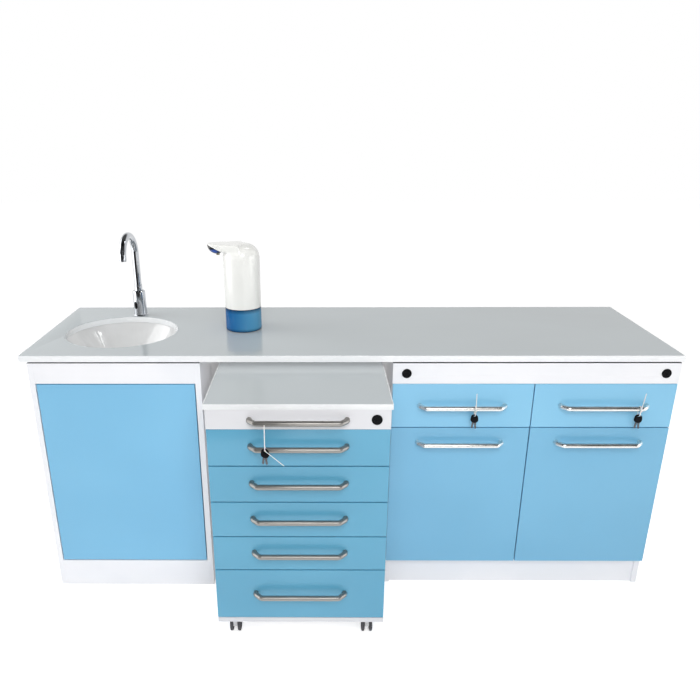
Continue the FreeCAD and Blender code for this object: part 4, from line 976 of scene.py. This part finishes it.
def housing():
    """White housing: round body with a domed crown that runs into its arm, hollow from below."""
    rise = (housing_top - seam) / MM
    body = lathe(at(soap_x, soap_y, seam), [(0, -SKIRT, 0), (SHELL_RADIUS, -SKIRT, 0),
                                            (SHELL_RADIUS, rise, CROWN_ROUNDING), (0, rise, 0)],
                 96)
    bm = skinned(body, beak())
    relax(bm, [v for v in bm.verts if v.co.z > housing_top - JUNCTION_DEPTH
               and v.co.x > soap_x - SHELL_RADIUS * MM], times=45)
    relax(bm, bm.verts[:], times=3)
    cut(bm, (0, 0, seam + FOOT_GAP), -UP)
    ring = drawn_on(bm, open_rim(bm), Vector((0, 0, -LIP)))
    ring = drawn_on(bm, ring, Vector((0, 0, -WELD * 2)))    # this ring goes in to the bore
    about = Matrix.Translation((soap_x, soap_y, 0))
    inwards = SHELL_BORE / SHELL_RADIUS
    bmesh.ops.transform(bm, matrix=about @ Matrix.Diagonal((inwards, inwards, 1, 1))
                        @ about.inverted(), verts=list({v for e in ring for v in e.verts}))
    ring = drawn_on(bm, ring, Vector((0, 0, housing_top - HOLLOW_DEPTH - seam)))
    bmesh.ops.edgeloop_fill(bm, edges=ring)
    bmesh.ops.recalc_face_normals(bm, faces=bm.faces)
    piece("dispenser_shell", bm, HOUSING, "dispenser", "dispenser_white", "dispenser_housing")


def sensor_lens():
    """Smoked dome under the beak, tilted with its slope: the cap of a ball."""
    ball = (LENS_REACH ** 2 + LENS_DEPTH ** 2) / (2 * LENS_DEPTH)
    bm = bmesh.new()
    bmesh.ops.create_uvsphere(bm, u_segments=64, v_segments=96, radius=ball)
    cut(bm, (0, 0, LENS_DEPTH - ball), UP)
    bmesh.ops.edgeloop_fill(bm, edges=open_rim(bm))
    closed(bm)
    ease_edges(bm, over=CORNER, ease=0.8, steps=3)
    centre = Vector((soap_x - ARM_REACH + BEAK_LENGTH / 2, soap_y, housing_top - LENS_DROP))
    tilt = Matrix.Rotation(math.atan2(BEAK_SLOPE * MM, BEAK_LENGTH), 4, "Y")
    bmesh.ops.transform(bm, matrix=Matrix.Translation(centre) @ tilt
                        @ Matrix.Translation((0, 0, ball - LENS_DEPTH)), verts=bm.verts)
    # Middle of the lens's painted highlight.
    glow = [c + offset for c, offset in zip(centre, PAINTED_HIGHLIGHT_OFFSET)]
    piece("dispenser_lens", bm, smoked_lens("smoked_acrylic", glow, PAINTED_HIGHLIGHT_REACH), "dispenser",
          "black_lock")


tank()
housing()
board("dispenser_pump", "dispenser_housing", PIPE, "waste_plastic", [3, 4], 0.4, False)
sensor_lens()
piece("dispenser_nozzle",
      lathe(at(soap_x - NOZZLE_REACH, soap_y, housing_top - NOZZLE_DROP), NOZZLE_OUTLINE, 48),
      SILICONE, "dispenser", "caster_grey")


# ---- Studio ---------------------------------------------------------------------------
WHITE = (1, 1, 1, 1)
FLOOR_HALF = 12                     # metres
FLOOR_GAP = 0.5 * MM                # keeps the floor clear of the plinths' lower faces
FLOOR_LIFT = 0.6                    # share of the floor's white that shadows can't darken
SKY_FRONT, SKY_BACK = 0.54, 0.4     # light on surfaces, from the front and from behind
ROOM_FRONT, ROOM_BACK = 0.1, 1.0    # what reflections see in front and behind
ROOM_LOW, ROOM_HIGH = 1.0, 0.1      # and its share that is left at eye height and overhead
CAMERA_SIDE = -0.09393
CAMERA_BACK = 2.03439               # from the worktop's front
CAMERA_HEIGHT = 1.52931
CAMERA_PAN, CAMERA_TILT, CAMERA_ROLL = 0.01, -0.375, -0.0038


def floor():
    """Plain pale floor that keeps a soft shadow, with a sheen-free painted surface."""
    bm = bmesh.new()
    bmesh.ops.create_grid(bm, x_segments=8, y_segments=8, size=FLOOR_HALF)
    bmesh.ops.translate(bm, verts=bm.verts, vec=(0, 0, -FLOOR_GAP))
    material, tree, coords, shader = blank_finish("painted_floor", Roughness=1.0,
                                                  Specular_IOR_Level=0.0,
                                                  Emission_Color=WHITE)
    two_tones(tree, coords, shader, ("F2F2F2", "EEEEEE"), (900, 900, 900))
    light_path = put(tree, "ShaderNodeLightPath")
    seen = put(tree, "ShaderNodeMath", links={0: (light_path, "Is Camera Ray"),
                                              1: (light_path, "Is Glossy Ray")},
               operation="MAXIMUM")
    seen = put(tree, "ShaderNodeMath", links={0: (seen, "Value"),
                                              1: (light_path, "Is Transmission Ray")},
               operation="MAXIMUM")
    lift = put(tree, "ShaderNodeMath", {1: FLOOR_LIFT}, {0: (seen, "Value")},
               operation="MULTIPLY")
    tree.links.new(lift.outputs["Value"], shader.inputs["Emission Strength"])
    made = shape("studio_floor", bm)
    made.data.materials.append(material)


def world():
    """White for the eye. Reflections see white behind that darkens in front and overhead, and
    surfaces get plain soft light. A ray's direction has parts from -1 to 1 along each axis."""
    made = bpy.data.worlds.new("studio")
    bpy.context.scene.world = made
    made.use_nodes = True
    tree = made.node_tree
    tree.nodes.clear()
    light_path = put(tree, "ShaderNodeLightPath")
    direction = put(tree, "ShaderNodeTexCoord")
    parts = put(tree, "ShaderNodeSeparateXYZ", links={"Vector": (direction, "Generated")})
    ahead = put(tree, "ShaderNodeMapRange", {"From Min": -0.35, "From Max": 0.25,
                                             "To Min": ROOM_FRONT, "To Max": ROOM_BACK},
                {"Value": (parts, "Y")}, interpolation_type="SMOOTHSTEP")
    overhead = put(tree, "ShaderNodeMapRange", {"From Min": 0.45, "From Max": 0.8,
                                                "To Min": ROOM_LOW, "To Max": ROOM_HIGH},
                   {"Value": (parts, "Z")}, interpolation_type="SMOOTHSTEP")
    room = put(tree, "ShaderNodeMath", links={0: (ahead, "Result"), 1: (overhead, "Result")},
               operation="MULTIPLY")
    sky = put(tree, "ShaderNodeMapRange", {"From Min": -0.5, "From Max": 0.5,
                                           "To Min": SKY_FRONT, "To Max": SKY_BACK},
              {"Value": (parts, "Y")})
    lit = put(tree, "ShaderNodeBackground", {"Color": WHITE}, {"Strength": (sky, "Result")})
    mirrored = put(tree, "ShaderNodeBackground", {"Color": WHITE},
                   {"Strength": (room, "Value")})
    shown = put(tree, "ShaderNodeBackground", {"Color": WHITE, "Strength": 1.0})
    bare = put(tree, "ShaderNodeMath", links={0: (light_path, "Is Camera Ray"),
                                              1: (light_path, "Is Transmission Ray")},
               operation="MAXIMUM")
    first = put(tree, "ShaderNodeMixShader", links={
        0: (light_path, "Is Glossy Ray"), 1: (lit, "Background"), 2: (mirrored, "Background")})
    second = put(tree, "ShaderNodeMixShader", links={
        0: (bare, "Value"), 1: (first, "Shader"), 2: (shown, "Background")})
    put(tree, "ShaderNodeOutputWorld", links={"Surface": (second, "Shader")})


def lamp(name, place, aim, size, watts):
    """Soft square lamp pointed at a spot."""
    data = bpy.data.lights.new(name, "AREA")
    data.size = size
    data.energy = watts
    made = bpy.data.objects.new(name, data)
    bpy.context.scene.collection.objects.link(made)
    made.location = place
    made.rotation_euler = (Vector(aim) - Vector(place)).to_track_quat("-Z", "Y").to_euler()


def card(name, corner, across, up, glow, mirrored=True):
    """Card that only reflections see, or only soft light: it keeps a side dark or pale."""
    bm = bmesh.new()
    edge = bm.edges.new([bm.verts.new(corner), bm.verts.new(Vector(corner) + Vector(across))])
    grown = bmesh.ops.extrude_edge_only(bm, edges=[edge])["geom"]
    bmesh.ops.translate(bm, verts=points_in(grown), vec=up)
    material, tree, coords, shader = blank_finish(name + "_cloth", Roughness=1.0,
                                                  Emission_Color=WHITE,
                                                  Emission_Strength=glow)
    two_tones(tree, coords, shader, ("030303", "050505"), (40, 40, 40))
    made = shape(name, bm)
    made.data.materials.append(material)
    made.visible_camera = made.visible_transmission = made.visible_shadow = False
    made.visible_glossy = mirrored
    made.visible_diffuse = not mirrored


def camera():
    """Camera at eye height in front of the cabinet, looking slightly down."""
    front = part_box("worktop_board")[0].y
    data = bpy.data.cameras.new("camera")
    data.sensor_width = 36
    data.lens = 35.77
    data.shift_x = 0.0526
    data.shift_y = 0.0611
    data.clip_start = 0.05
    made = bpy.data.objects.new("camera", data)
    bpy.context.scene.collection.objects.link(made)
    made.matrix_world = (Matrix.Translation((CAMERA_SIDE, front - CAMERA_BACK, CAMERA_HEIGHT))
                         @ Matrix.Rotation(CAMERA_PAN, 4, "Z")
                         @ Matrix.Rotation(math.pi / 2 + CAMERA_TILT, 4, "X")
                         @ Matrix.Rotation(CAMERA_ROLL, 4, "Z"))
    bpy.context.scene.camera = made


floor()
world()
lamp("front_lamp", place=(0.15, -3.0, 2.6), aim=(0.0, 0.0, 0.45), size=1.8, watts=62)
lamp("side_lamp", place=(-2.6, 0.35, 1.7), aim=(-0.4, 0.1, 0.8), size=1.9, watts=28)
# A dark core for the chrome.
card("front_flag", corner=(-1.7, -0.6, 0.62), across=(1.5, 0, 0), up=(0, 0, 1.8), glow=0.03)
# A pale band along the back of the pedestal's glass, under the worktop.
card("under_top", corner=(-0.44, -0.126, 0.829), across=(0.56, 0, 0), up=(0, 0.2, 0), glow=1.2)
# Bright lines along the bars, from both sides.
card("left_card", corner=(-2.2, -1.4, 0.0), across=(0, 1.9, 0), up=(0, 0, 1.5), glow=3.0)
card("right_card", corner=(2.2, -1.4, 0.0), across=(0, 1.9, 0), up=(0, 0, 1.5), glow=3.0)
# A highlight in the bowl.
card("basin_card", corner=(0.07, 0.43, 2.0), across=(-0.14, -0.27, 0), up=(0.07, 0.06, 0),
     glow=22.0)
# Shade at the back of the open bay.
card("bay_back", corner=(-0.46, 0.48, 0.02), across=(0.59, 0, 0), up=(0, 0, 0.8), glow=0.0,
     mirrored=False)
camera()
bpy.context.scene.view_settings.view_transform = "Standard"
